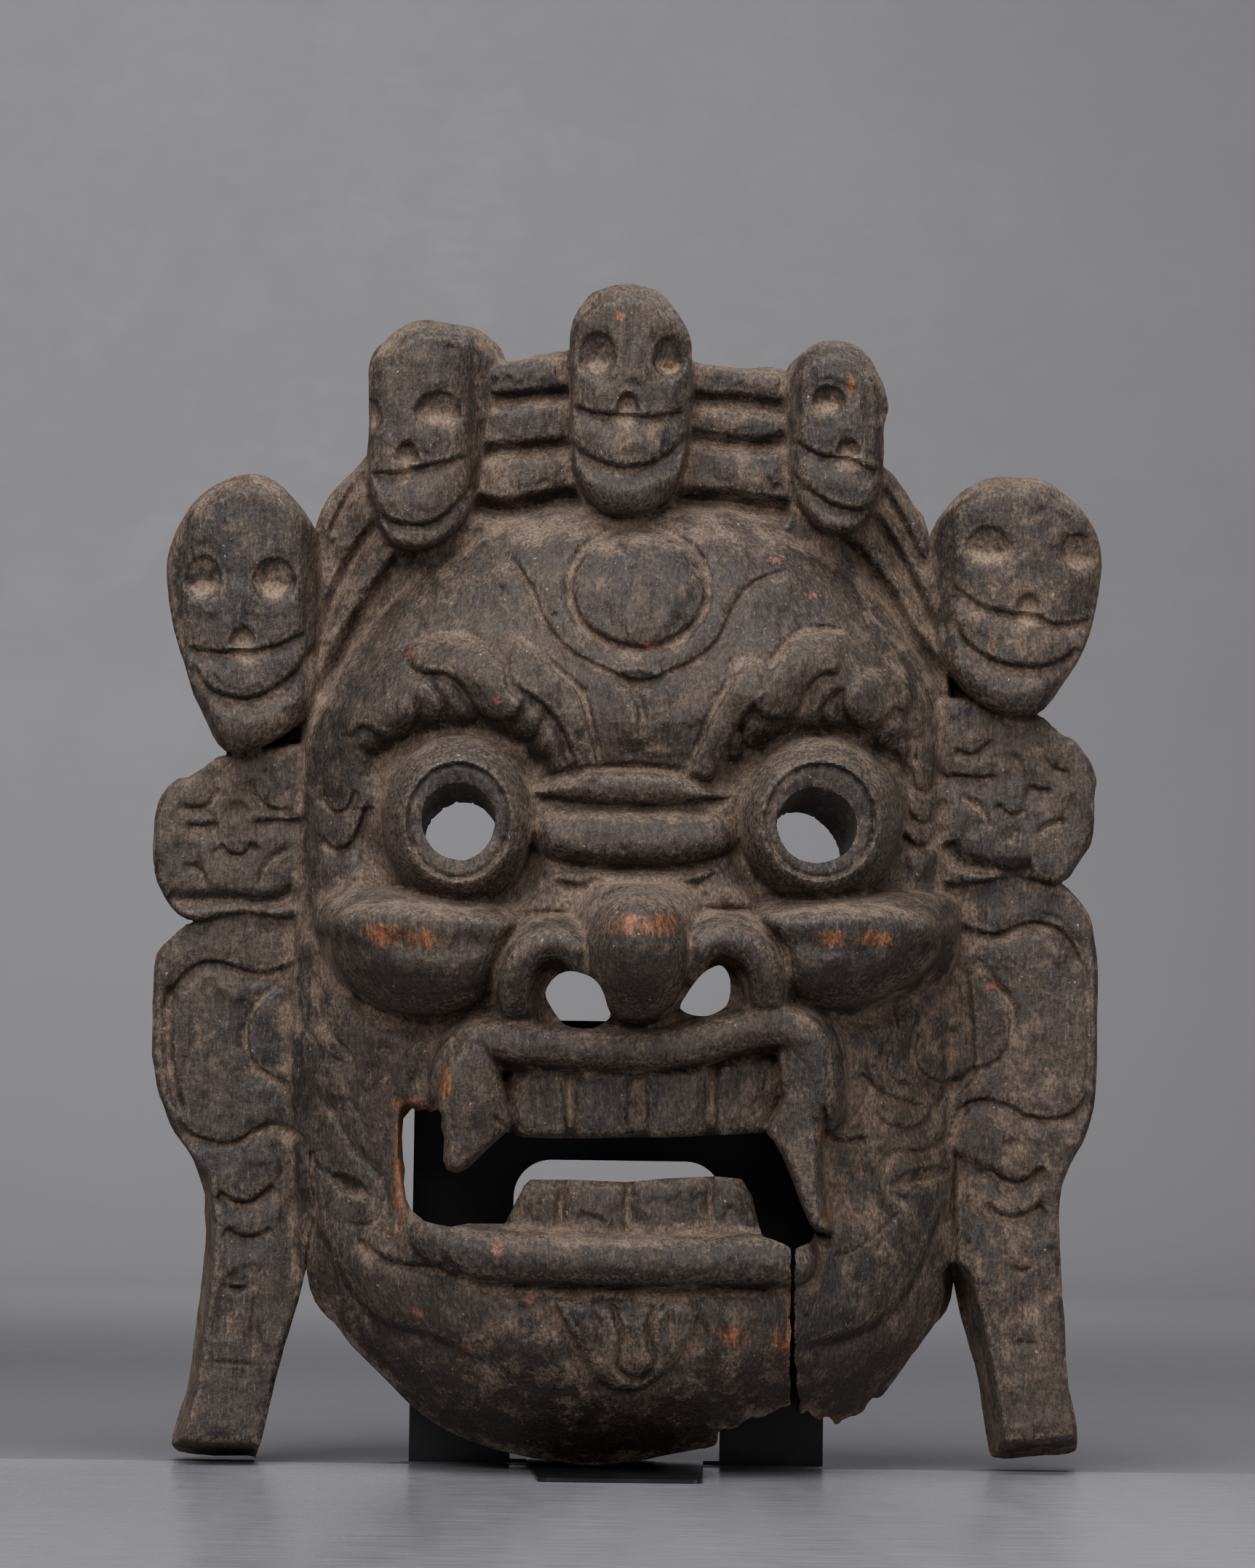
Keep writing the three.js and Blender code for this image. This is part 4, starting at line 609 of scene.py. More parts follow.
def carve_third_eye():
    """Third eye in its ring, and the lines of the forehead that meet under it."""
    w = window(-32, 46, 292, 362)
    r = radius(w, *THIRD_EYE)
    H[w] += np.where(r < 1, BOSS_HEIGHT * np.sqrt(np.clip(1 - r * r, 0, 1)), 0)
    H[w] += PUPIL_HEIGHT * smooth(-radius(w, *PUPIL), -1.05, -0.85)
    H[w] -= RING_DEPTH * np.exp(-((r - 1.03) / 0.085) ** 2)
    steps([
        ([(-47, 341), (-42, 339), (-37, 334), (-32, 325), (-29, 317), (-24, 309.5), (-18, 304), (-11, 300),
            (-4, 297), (0, 295.2), (6, 293.5), (12, 294), (18, 297), (26, 300.5), (32, 305), (37, 311),
            (40, 318), (43, 324), (47, 329.5), (52, 333), (64, 337)], 2.8, 5)])
    fold([(2, 294), (6.5, 287), (8.5, 279), (8.5, 271)], 3, 3, 2.8)
    scoop(6.5, 293, 8, 4, -3)
    grooves([
        ([(3, 323), (8, 327), (14.5, 329)], 0.8, 0.8), ([(-11, 337), (-8, 331)], 0.8, 0.6),
        ([(-60, 352), (-45, 349), (-30, 349.5), (-15, 352)], 1.4, 0.9),
        ([(30, 352.5), (45, 350.5), (58, 347.5), (72, 340)], 1.4, 0.9),
        ([(30, 356), (44, 355), (56, 352)], 1.2, 0.8)])


# Eye tubes: middle and half sizes of the ring cut round the hole
TUBES = [(-60.0, 238.5, 19.6, 22.2), (76.0, 240.6, 21.0, 22.0)]
TUBE_FRONT = 114


def carve_eyes():
    """Tubes that lean outwards, each with a flat band round its hole, a lip and a groove."""
    for cx, cz, rx, rz in TUBES:
        w = window(cx - 34, cx + 34, cz - 37, cz + 37)
        r = radius(w, cx, cz, rx, rz)
        front = TUBE_FRONT - 0.055 * abs(cx) - 0.1 * np.sign(cx) * (X[w] - cx)
        band = front - 1.2 - 1.0 * np.clip((0.97 - r) / 0.36, 0, 1.2) ** 1.4
        flank = front - 0.6 - 13.5 * np.clip((r - 1) / 0.4, 0, 3) ** 1.9
        top = np.where(r < 1, band, flank)
        H[w] = smooth_max(H[w], np.where(r < 1.45, top, -99), 2)
        lip = 1.1 * np.exp(-((r - 1.02) / 0.04) ** 2)
        H[w] += lip - 1.6 * np.exp(-((r - 0.955) / 0.035) ** 2)


def bag(points, top, upper, lower, crest, drop, blend):
    """Hanging form: tight over its crest, slack below it."""
    w, d = inside(curve(points, True), 6)
    t = top(X[w], Z[w])
    width = lower + (upper - lower) * smooth(Z[w], crest - 8, crest + 4)
    t = t - np.minimum(drop, width * 1.3) * (1 - dome(np.clip(d / width, 0, 1)))
    H[w] = smooth_max(H[w], np.where(d > 0, t, t + 4 * d), blend)


def carve_nose():
    """Folds between the eyes, bags under them, and the nose with its wings."""
    puff([
        (-32, 249.5), (-22, 254.5), (-8, 257.5), (8, 258), (22, 256.5), (32, 252.5), (42, 249.5),
        (32, 247.5), (10, 246), (-10, 246.5)], 5, 5)
    puff([
        (-33, 232), (-30, 240), (-15, 243.5), (5, 244), (25, 243.5), (39, 242), (45, 234), (41, 228),
        (25, 223), (5, 222), (-15, 222.5), (-28, 226)], 9, 11)
    puff([
        (-25, 218), (-14, 221), (5, 221.5), (25, 221.5), (37, 222), (26, 216), (5, 214.5), (-14, 214.5)],
        2.2, 3.5)
    for path, above, below, depth in [
            ([(-33, 252), (-22, 256.8), (-8, 259.3), (8, 259.8), (22, 258.3), (33, 254), (43, 250.5)],
                2.5, 3, 2.6),
            ([(-34, 248), (-20, 246.3), (-8, 245.8), (6, 245.4), (20, 245.8), (32, 247.5), (44, 249.5)],
                2.2, 5, 2.4),
            ([(-30, 227), (-18, 223), (-5, 221.6), (8, 221.2), (22, 221.6), (33, 223.5), (42, 229)],
                6, 3, 3.8),
            ([(-25, 218), (-18, 214.6), (-8, 213.6), (5, 213.8), (20, 215), (31, 215.6), (39, 221)],
                2.6, 4.5, 1.4)]:
        fold(path, above, below, depth)
    bag([
        (-107, 196), (-104.5, 202.5), (-97, 206.5), (-80, 206.5), (-60, 205), (-46, 204), (-37, 200),
        (-34, 190), (-37, 181), (-45, 173), (-56, 167.5), (-69, 165.5), (-82, 167), (-92, 171.5),
        (-100, 178), (-105.5, 187)], arched(120, -64, 0.0075, 190, 0.1), 6, 22, 197, 24, 3)
    bag([
        (54, 204), (64, 206), (76, 207), (92, 208), (108, 208), (117.5, 204.5), (122, 197.5), (120, 190),
        (114, 183), (105, 177), (94, 172.5), (82, 170.5), (70, 171), (60, 175), (55, 184), (53, 196)],
        arched(120, 76, 0.0075, 190, 0.1), 6, 22, 199, 24, 3)
    swell([(-42, 180), (-41.5, 190), (-37, 197), (-28, 201), (-19, 200.5), (-12, 196)], 4, -6)
    swell([(62, 182), (61, 192), (56, 200), (48, 204), (38, 204.5), (30, 201)], 4, -6)
    roll([
        (-35, 164), (-37.2, 174), (-36.6, 183), (-33, 189.5), (-27, 193.3), (-20, 193.4), (-14, 189.5),
        (-10, 183)], 6, 7, [110, 119, 124, 127, 128, 128, 128, 125], 4)
    roll([
        (55, 164), (56.6, 174), (55.6, 184), (51, 191.5), (44, 195.6), (37, 195.6), (31, 191.5),
        (27.5, 184)], 6, 7, [110, 119, 124, 127, 129, 129, 129, 125], 4)
    knob(8, 198, 18, 15.5, 140, 22, 4)
    knob(8, 189.5, 19.8, 24.5, 147.6, 28, 4, 5)
    swell([(-100, 176), (-92, 169), (-78, 162), (-62, 160), (-50, 164)], 6, -7)
    swell([(110, 178), (102, 171), (90, 167), (78, 167), (68, 171)], 6, -7)
    groove([(-64, 191), (-59, 188.5), (-55, 184.5), (-51.5, 180)], 0.9, 1.0)
    groove([(-70, 165.8), (-60, 165), (-50, 166), (-43, 170)], 1.4, 2)


def teeth(rows, top):
    """Row of rough-edged teeth."""
    for points in rows:
        pad(points, top, 5.5, 4.6, 0.3)


MOUTH_SINK = 14


def carve_mouth():
    """Sunken mouth with two rows of teeth, both fangs and the rolled lips."""
    w, s = inside(curve([
        (-80, 131), (-64, 132), (-52, 150), (-40, 147), (-10, 146), (20, 146), (45, 153), (60, 158),
        (66, 150), (62, 132), (76, 100), (82, 86), (66, 80), (40, 83), (0, 84), (-40, 86), (-70, 86),
        (-78, 96)], True), 3)
    H[w] -= np.where(s > 0, MOUTH_SINK * smooth(s, 0, 4), 0)
    pad([
        (-43, 126), (-43, 134), (-40, 143), (-30, 148), (-10, 150), (20, 150), (45, 154), (60, 153),
        (63, 140), (60, 126), (40, 124), (10, 122.5), (-20, 122), (-34, 122.5)],
        arched(101.5, 9, 0.0035, 120, 0.06), 3, 3)
    teeth([
        [(-39.5, 128), (-39.5, 134), (-36.5, 140.5), (-31, 145), (-24, 147), (-19.5, 146), (-18.4, 136),
            (-18, 128), (-18.5, 121.4), (-28, 120.4), (-35, 121)],
        [(-14, 147), (-3, 148), (4.6, 148), (5.8, 138), (5.6, 128), (5.2, 121.4), (-4, 120.8), (-14, 120.6),
            (-15, 130)],
        [(12.4, 147.5), (22, 148.5), (33.6, 149), (34.8, 140), (34.4, 130), (33.6, 122), (22, 121.2),
            (13.4, 121.2), (12.2, 132)],
        [(38.6, 149), (48, 152), (57, 152.5), (62.5, 146), (62, 136), (59, 129), (57, 123.6), (48, 122.3),
            (39.2, 122.4), (38, 134)]], arched(106.8, 9, 0.0035, 120, 0.06))
    pad([
        (-41, 84), (-37, 97), (-33, 103.5), (-15, 104), (5, 103.5), (20, 105), (38, 106.5), (48, 105.5),
        (52, 100), (54.5, 90), (56, 82), (20, 80), (-20, 80)], arched(98, 8, 0.0032, 85, -0.05), 3, 3)
    teeth([
        [(-41, 84), (-37, 96), (-33.5, 104), (-26, 105.5), (-20.6, 105.2), (-20.2, 96), (-20.4, 82),
            (-30, 81)],
        [(-18, 105.2), (-6, 105.2), (4.6, 104.6), (5, 95), (5, 82), (-6, 81), (-18, 82)],
        [(7.2, 104.8), (20, 106.4), (35, 107.4), (36, 98), (35.6, 82), (20, 81), (7.4, 82)],
        [(37.4, 107.6), (46, 107.5), (50, 104), (53, 97), (55, 88), (54.5, 82), (45, 82), (37.4, 82)]],
            arched(101.4, 8, 0.0032, 85, -0.05))
    pad([
        (-66, 134), (-63.5, 121), (-63.5, 112), (-62, 108), (-58, 107), (-53.5, 109.5), (-49, 114),
        (-43, 119.5), (-38, 124.5), (-40, 134), (-42, 143), (-46, 152), (-55, 156), (-63, 149)],
        arched(109, -55, 0.014, 107, 0.05), 5, 6)
    pad([
        (57, 124), (63, 115), (67, 106), (70, 98), (73, 91), (76, 87.5), (81.5, 87), (79.5, 95), (78, 105),
        (78, 118), (79, 132), (80, 145), (77, 158), (69, 162), (61, 157), (62, 142), (62.5, 135)],
        arched(112.5, 74.5, 0.022, 150, 0.025), 3.5, 4)
    roll([
        (-61.5, 138), (-60, 147), (-55, 154.5), (-46, 156.8), (-32, 155.4), (-12, 154), (8, 153.6),
        (28, 156), (44, 160.6), (58, 164), (67.5, 162), (74, 155), (75.8, 145), (75.4, 134)], 7.2, 6,
        [103, 109, 114, 116, 117.5, 118, 118, 117.5, 116, 114, 113], 2.5)
    fold([
        (-45, 148.6), (-32, 147.6), (-12, 146.4), (8, 145.8), (28, 147), (40, 149.5), (50, 153), (60, 156)],
        3, 1.5, 2.4)
    roll([
        (-66, 84), (-60, 79.5), (-52, 77), (-40, 76.3), (-15, 75.6), (10, 75.2), (35, 75.6), (55, 76.2),
        (66.5, 76)], 8.6, 7, [102, 109, 113, 114.5, 114.5, 114, 112, 110], 2.5)
    steps([
        ([(-63, 80), (-58.5, 74), (-54, 70), (-50, 68.2), (-40, 67.4), (-30, 66.8), (-20, 66), (-12, 65.6),
            (-5, 67), (0, 66.4), (10, 65.8), (20, 65.8), (30, 66.5), (40, 67), (50, 67), (57, 67.6),
            (62, 71)], 4.4, 6),
        ([(-94, 83), (-87, 77.2), (-82, 75), (-77, 73.7), (-72, 73.4), (-67, 73.5), (-61, 75)], 4.2, 5.5)])


def carve_beard():
    """Goatee, the edges of the jaw and the cuts on the chin."""
    puff([
        (-21, 60), (-9, 60), (0, 57.5), (10, 56), (20, 60), (30, 59), (31, 51), (27, 43.5), (21, 36),
        (15, 30), (8, 27.5), (0, 29), (-7, 36), (-14, 47)], 2.6, 3)
    steps([
        ([(-22, 62), (-18, 54), (-14, 47), (-11, 41), (-8, 37), (-5, 33), (0, 29), (5, 27.3), (9, 27),
            (13, 28.4), (17, 31), (21, 36), (24.5, 40.5), (26, 44.5), (30, 49), (33, 56)], 4.2, 7)])
    groove([
        (0, 60), (1.5, 55), (3.2, 51), (4, 46), (3.4, 41), (2.8, 37), (4, 34), (7, 31.6), (10, 31.3),
        (13.5, 33), (16, 36.5), (16.2, 39.5), (14.4, 44), (13.8, 50), (14.6, 55), (18, 59)], 2.1, 4.4)
    steps([([(2, 58.5), (6, 56), (10, 55.6), (14, 57.5), (19, 60.5)], 2.2, 3.5)])
    grooves([
        ([(-7, 58), (-4.5, 50), (-5, 43), (-3, 37)], 2, 2), ([(22, 58), (22.5, 50), (24, 43)], 2, 2),
        ([(-14, 62), (-9, 58), (-4, 58.5)], 1.4, 1.2)])
    step([
        (-112, 102), (-107.5, 87), (-101.5, 75), (-97, 66), (-92, 59), (-86, 54.5), (-78, 51.5),
        (-70, 49.5), (-62, 46.5), (-52, 42), (-40, 37.5)], 4.5, 17, 3)
    step([
        (127, 118), (124, 104), (119, 90), (113, 75), (106, 62), (98, 55.5), (88, 51), (78, 48),
        (71, 45.5)], 6.5, 15, 3.5, LEFT)
    step([(127.5, 73), (120, 55.5), (112, 43.5), (103, 33.5), (96, 25.5), (90, 20)], 6, 7, 1, LEFT)
    for path in [
            [(-62, 38), (-45, 27), (-25, 20), (-8, 17)], [(-58, 31), (-40, 22), (-20, 15.5), (0, 13)],
            [(-66, 27), (-50, 17.5), (-36, 13)], [(-34, 15), (-27, 12.5), (-18, 12)],
            [(66, 33), (52, 27), (40, 22), (28, 18)], [(64, 28), (50, 22), (36, 17), (22, 14)],
            [(46, 17.5), (36, 14), (24, 11)], [(-64, 20), (-56, 17), (-50, 13.5)]]:
        groove(path, 2.4, 0.9, 0.3)
    for path in [
            [(-112.5, 115), (-112, 106), (-110.8, 98), (-110.4, 91), (-111.6, 84), (-113, 77),
                (-113.4, 70)],
            [(128, 118), (127, 105), (127, 95), (127.6, 85), (128.2, 72)],
            [(78.2, 134), (79.5, 127.5), (77.6, 120), (77, 112), (77.2, 104), (78.4, 97), (80, 90)]]:
        groove(path, 1.4, 5, 0.03)
    groove([(-60, 160), (-59, 154), (-60.3, 148)], 1.2, 2)
    groove([(-45, 128.5), (-41, 125.5), (-37, 122.5)], 1.1, 2.5)


def carve_hair():
    """Curls of the temples and whiskers beside the mouth."""
    steps([
        ([(-103.5, 200), (-102.5, 193), (-103.5, 187), (-102, 181), (-99, 177), (-95.5, 173), (-93.8, 168),
            (-93.4, 160)], 3, 6),
        ([(-110.4, 180), (-109.7, 171), (-108.5, 165.5), (-106, 160.5), (-103, 156.7), (-99.6, 153),
            (-96.8, 149.5), (-95.6, 143)], 3, 6),
        ([(-117, 168), (-115.5, 162), (-113, 158), (-109, 153.5), (-105.5, 150.8), (-100, 148)], 2.8, 6),
        ([(-95, 84), (-99, 88.5), (-97, 93), (-103, 97)], 0.8, 3)])
    steps([
        ([(-109, 131), (-104, 125), (-101, 119), (-98, 113.5), (-94, 110.3), (-90, 107), (-86.8, 101),
            (-86, 95), (-87.8, 90.6), (-92, 88.4), (-98, 88.6)], 2, 4.5),
        ([(-89, 152), (-83, 151), (-79, 151.4), (-76, 153.5), (-73, 157), (-70, 162)], 2.4, 5)], LEFT)
    groove([(-112, 110.5), (-108, 107.5), (-104.5, 104.5)], 1.6, 2)
    spoon(-98, 101.6, 7.8, 3.7, 5.5, -0.4, -0.5)
    steps([
        ([(108, 181), (105.6, 174), (105, 169), (106.6, 164), (105, 158)], 2.6, 5),
        ([(121.5, 171), (117.6, 167), (114.6, 162), (113.2, 157), (113.6, 152), (115.5, 148), (119, 145.3),
            (124, 144.2), (129.5, 146.5)], 3.6, 5),
        ([(104.8, 157.5), (102.6, 153), (102.6, 149.5), (104, 146), (107, 143.8), (111.5, 143)], 3.2, 5),
        ([(92.5, 147.5), (97.5, 142.2), (102.5, 139.4), (108, 137.6), (112.5, 135.8), (117, 134.4)],
            3.4, 7),
        ([(97.5, 133.5), (101.5, 129), (106, 127.2), (111, 127), (115, 128.8), (117.5, 132.5), (117, 137),
            (113.5, 141)], 3.2, 5),
        ([(79, 131), (80.5, 125.5), (83, 122.4), (86, 121.6), (89, 122.3), (94, 123.5)], 4, 6),
        ([(99, 112.5), (101.5, 116.3), (105, 118.5), (109, 119), (113, 118.5), (117, 119), (120.5, 121),
            (124.5, 126)], 3.4, 6),
        ([(118.4, 152.5), (118.6, 158), (122, 162), (127.5, 164.6)], 2.6, 4.5)])
    steps([
        ([(110, 183), (115, 182), (119, 178), (119, 172.5), (117, 168), (113.6, 164.5)], 2.4, 4),
        ([(94.5, 147), (94, 140), (92, 135), (89.5, 131), (86.5, 128), (82.5, 126.5)], 2.4, 5),
        ([(118, 122), (121.5, 127), (122.6, 133), (125, 138), (130, 141.8), (136, 149.5)], 2.2, 5),
        ([(101.5, 113), (99.6, 106), (101, 100.5), (104, 98), (109, 95.5)], 2.4, 5)], LEFT)
    grooves([
        ([(109, 96), (104, 91), (99, 86), (93, 81.5), (88, 79), (81, 76.8)], 1.4, 1.8),
        ([(87.5, 110), (86, 105), (86.5, 100), (88.5, 96.5), (92, 93.5)], 1.6, 1.8),
        ([(82.5, 153), (86, 149), (88.5, 145), (89.5, 141)], 1.6, 1.8),
        ([(112.8, 176), (114.6, 171), (113.4, 166)], 1.4, 1.2),
        ([(-106, 192), (-107, 186), (-105.5, 181)], 1.2, 1.4),
        ([(-112, 186), (-113.5, 176), (-112, 168)], 1.6, 1.4),
        ([(98, 158), (95.5, 151), (97, 146)], 1.8, 1.6), ([(122, 186), (124, 178), (122, 172)], 1.8, 1.8),
        ([(127, 182), (129, 172), (127.5, 163)], 1.6, 1.6),
        ([(-83, 146), (-87, 140), (-93, 136)], 1.6, 1.2), ([(-100, 135), (-95, 128), (-92, 120)], 1.6, 1.2),
        ([(97, 118), (93, 113), (92, 106)], 1.5, 1.3)])
    spoon(115, 107.7, 11.6, 3.8, 5.5, -0.3, 0.24)
    groove([(124.4, 116), (128.5, 117)], 1.4, 1.6)
    scoop(124.5, 91.5, 1.6, 1.6, -2.5)


carve_ground()
carve_crown()
for skull in SKULLS:
    carve_skull(skull)
carve_sides()
carve_brows()
carve_third_eye()
carve_eyes()
carve_nose()
carve_mouth()
carve_beard()
carve_hair()

# Outlines as a knife leaves them, and how deep each place lies inside them
OUTLINES = [LOBE_LEFT, LOBE_RIGHT, ROSETTE_LEFT, ROSETTE_RIGHT, HOLLOW_LEFT, HOLLOW_RIGHT, CROWN_BAND, FACE]
OUTLINES += [s["line"] for s in SKULLS]
outline_lines = [wobble(points, 0.35, 20 + i) for i, points in enumerate(OUTLINES)]
depth_in = np.full(H.shape, -9.0)
for line in outline_lines:
    w, s = inside(line, 8)
    depth_in[w] = np.maximum(depth_in[w], s)
within = (depth_in > 0).astype(float)


def blur(field, size_x, size_z=None):
    """Soft average over a size in millimetres, by rows and columns."""
    size_z = size_x if size_z is None else size_z
    fz = np.fft.fftfreq(field.shape[0], STEP)[:, None]
    fx = np.fft.rfftfreq(field.shape[1], STEP)[None, :]
    filt = np.exp(-2 * math.pi ** 2 * ((fx * size_x) ** 2 + (fz * size_z) ** 2))
    return np.fft.irfft2(np.fft.rfft2(field) * filt, s=field.shape)


def blur_within(field, size):
    """Soft average that counts only the places inside the outlines."""
    return blur(field * within, size) / np.maximum(blur(within, size), 0.02)


def noise(seed, size_x, size_z=None):
    """Random field of even strength, with grains of the given size."""
    n = blur(np.random.default_rng(seed).normal(0, 1, H.shape), size_x, size_z)
    return n / n.std()


def knife_facets(field, size_x, size_z, limit, seed):
    """Difference between a rounded surface and the flat cuts a knife leaves on it."""
    soft = blur_within(field, 1.5)
    slope_z, slope_x = np.gradient(soft, STEP)
    rng = np.random.default_rng(seed)
    u = ((X - X_LINE[0]) / size_x).astype(int) + 1
    v = ((Z - Z_LINE[0]) / size_z).astype(int) + 1
    middle_x = X_LINE[0] + (np.arange(u.max() + 2) - 0.5) * size_x
    middle_x = middle_x + rng.uniform(-0.45, 0.45, (v.max() + 2, 1)) * size_x
    middle_x = middle_x + rng.uniform(-0.4, 0.4, middle_x.shape) * size_x
    middle_z = Z_LINE[0] + (np.arange(v.max() + 2)[:, None] - 0.5) * size_z
    middle_z = middle_z + rng.uniform(-0.45, 0.45, middle_x.shape) * size_z
    best = np.full(X.shape, 1e9)
    plane = np.zeros(X.shape)
    for dv in (-1, 0, 1):
        for du in (-1, 0, 1):
            mx, mz = middle_x[v + dv, u + du], middle_z[v + dv, u + du]
            i = np.clip(np.rint((mz - Z_LINE[0]) / STEP), 0, X.shape[0] - 1).astype(int)
            j = np.clip(np.rint((mx - X_LINE[0]) / STEP), 0, X.shape[1] - 1).astype(int)
            d = ((X - mx) / size_x) ** 2 + ((Z - mz) / size_z) ** 2
            t = soft[i, j] + slope_x[i, j] * (X - mx) + slope_z[i, j] * (Z - mz)
            plane = np.where(d < best, t, plane)
            best = np.minimum(d, best)
    calm = np.exp(-((field - blur_within(field, 2.5)) / 0.55) ** 2)
    return np.clip(plane - soft, -limit, limit) * calm


# Knife marks, weathered grain and pits on the soft carving
H[:] = blur_within(H, 0.35) * within + H * (1 - within)
carved = H.copy()
H += 0.75 * knife_facets(carved, 8, 13, 0.9, 11)
H -= 0.25 * np.abs(noise(1, 5, 8))
H += 0.05 * noise(2, 0.8, 9) + 0.10 * noise(3, 0.6, 3) + 0.12 * noise(4, 1.1) + 0.15 * noise(8, 3)
pits = np.clip(noise(5, 0.9, 1.6) - 2.1, 0, 1)
H -= 1.2 * pits

# Where dust lies, and where surfaces that face down get painted shade, told from the carving alone
cut_line = np.clip((blur_within(carved, 1.2) - carved) / 0.7, 0, 1)
hollow = np.clip((blur_within(carved, 3) - carved) / 2.2, 0, 1)
broad_hollow = np.clip((blur_within(carved, 9) - carved) / 7, 0, 1)
ridge = np.clip((carved - blur_within(carved, 1.6)) / 0.8, 0, 1)
gz, gx = np.gradient(blur_within(carved, 1.0), STEP)
tilt = gz / np.sqrt(1 + gx ** 2 + gz ** 2)
ledge = smooth(-tilt, 0.35, 0.85)
# Painted shade: the more a surface faces down, the darker it is painted, as if the light from above missed
# it
under = smooth(tilt, 0.12, 0.7)
dust = (hollow * 0.7 + 0.35 * cut_line) * (1 - 0.6 * under)
dust = dust + broad_hollow * 0.6 * (1 - 0.7 * under) + 0.45 * ledge
dust = np.clip(dust + 0.1 * noise(6, 5, 8) - 0.1, 0, 1)


# Solids and cuts
def add_object(name, data):
    obj = bpy.data.objects.new(name, data)
    bpy.context.scene.collection.objects.link(obj)
    return obj


def mesh_object(name, points, faces):
    """Object from faces that may have any number of corners."""
    mesh = bpy.data.meshes.new(name)
    mesh.from_pydata([tuple(p) for p in points], [], faces)
    mesh.update()
    return add_object(name, mesh)


def grid_object(name, points, faces):
    """Object from an array of four-cornered faces, quick also for a million of them."""
    mesh = bpy.data.meshes.new(name)
    mesh.vertices.add(len(points))
    mesh.vertices.foreach_set("co", np.asarray(points, np.float32).ravel())
    mesh.loops.add(faces.size)
    mesh.loops.foreach_set("vertex_index", faces.astype(np.int32).ravel())
    mesh.polygons.add(len(faces))
    mesh.polygons.foreach_set("loop_start", np.arange(0, faces.size, faces.shape[1], dtype=np.int32))
    mesh.update(calc_edges=True)
    mesh.validate()
    return add_object(name, mesh)


def block(x_line, z_line, top, keep, level):
    """Closed block between a height field and a level behind it, over the kept cells."""
    rows, cols = top.shape
    index = np.arange(rows * cols).reshape(rows, cols)
    a, b, c, d = index[:-1, :-1][keep], index[:-1, 1:][keep], index[1:, 1:][keep], index[1:, :-1][keep]
    quads = np.stack([a, b, c, d], 1)
    edges = np.concatenate([quads[:, [0, 1]], quads[:, [1, 2]], quads[:, [2, 3]], quads[:, [3, 0]]])
    key = edges[:, 0].astype(np.int64) * rows * cols + edges[:, 1]
    back_key = edges[:, 1].astype(np.int64) * rows * cols + edges[:, 0]
    rim = edges[~np.isin(key, back_key)]
    n = rows * cols
    walls = np.stack([rim[:, 1], rim[:, 0], rim[:, 0] + n, rim[:, 1] + n], 1)
    faces = np.concatenate([quads, quads[:, ::-1] + n, walls])
    gx_, gz_ = np.meshgrid(x_line, z_line)
    front = np.stack([gx_.ravel(), -top.ravel(), gz_.ravel()], 1)
    rear = np.stack([gx_.ravel(), np.full(n, -float(level)), gz_.ravel()], 1)
    points = np.concatenate([front, rear])
    used = np.unique(faces)
    remap = np.full(len(points), -1)
    remap[used] = np.arange(len(used))
    return points[used], remap[faces]


def prism(line, near, far, shift_x=0.0, shift_z=0.0):
    """Prism over a closed line, from depth near to depth far. The near end is shifted."""
    line = np.asarray(line, float)
    if np.sum(line[:, 0] * np.roll(line[:, 1], -1) - np.roll(line[:, 0], -1) * line[:, 1]) < 0:
        line = line[::-1]
    n = len(line)
    a = np.stack([line[:, 0] + shift_x, np.full(n, -float(near)), line[:, 1] + shift_z], 1)
    b = np.stack([line[:, 0], np.full(n, -float(far)), line[:, 1]], 1)
    faces = [list(range(n))[::-1], list(range(n, 2 * n))]
    for i in range(n):
        j = (i + 1) % n
        faces.append([i, j, n + j, n + i])
    return mesh_object("tool", np.concatenate([a, b]), faces)


def settle(obj):
    """Keeps the result of the modifiers as the mesh."""
    graph = bpy.context.evaluated_depsgraph_get()
    mesh = bpy.data.meshes.new_from_object(obj.evaluated_get(graph))
    old = obj.data
    obj.modifiers.clear()
    obj.data = mesh
    bpy.data.meshes.remove(old)


def combine(obj, tool, operation):
    """Joins or cuts the object with a tool, which is used up."""
    mod = obj.modifiers.new("combine", "BOOLEAN")
    mod.operation = operation
    mod.solver = "MANIFOLD"
    mod.object = tool
    settle(obj)
    old = tool.data
    bpy.data.objects.remove(tool)
    bpy.data.meshes.remove(old)


def ellipse(cx, cz, rx, rz, rough, seed):
    """Hand-cut ellipse."""
    rng = np.random.default_rng(seed)
    a = np.linspace(0, 2 * math.pi, 40, endpoint=False)
    r = 1 + rough * sum(np.sin(k * a + rng.uniform(0, 6.28)) / k for k in (2, 3, 5, 8, 13))
    return np.stack([cx + rx * r * np.cos(a), cz + rz * r * np.sin(a)], 1)


# The block stands out round the mask and behind it. The outlines trim it.
BLOCK_MARGIN = 3
BLOCK_BACK = -40
IN_FRONT = 190
corners = [depth_in[:-1, :-1], depth_in[1:, :-1], depth_in[:-1, 1:], depth_in[1:, 1:]]
kept = np.maximum.reduce(corners) > -BLOCK_MARGIN
mask = grid_object("mask_carved", *block(X_LINE, Z_LINE, H, kept, BLOCK_BACK))
outline, *others = [prism(line, 0, IN_FRONT) for line in outline_lines]
for body in others:
    combine(outline, body, "UNION")
combine(mask, outline, "INTERSECT")

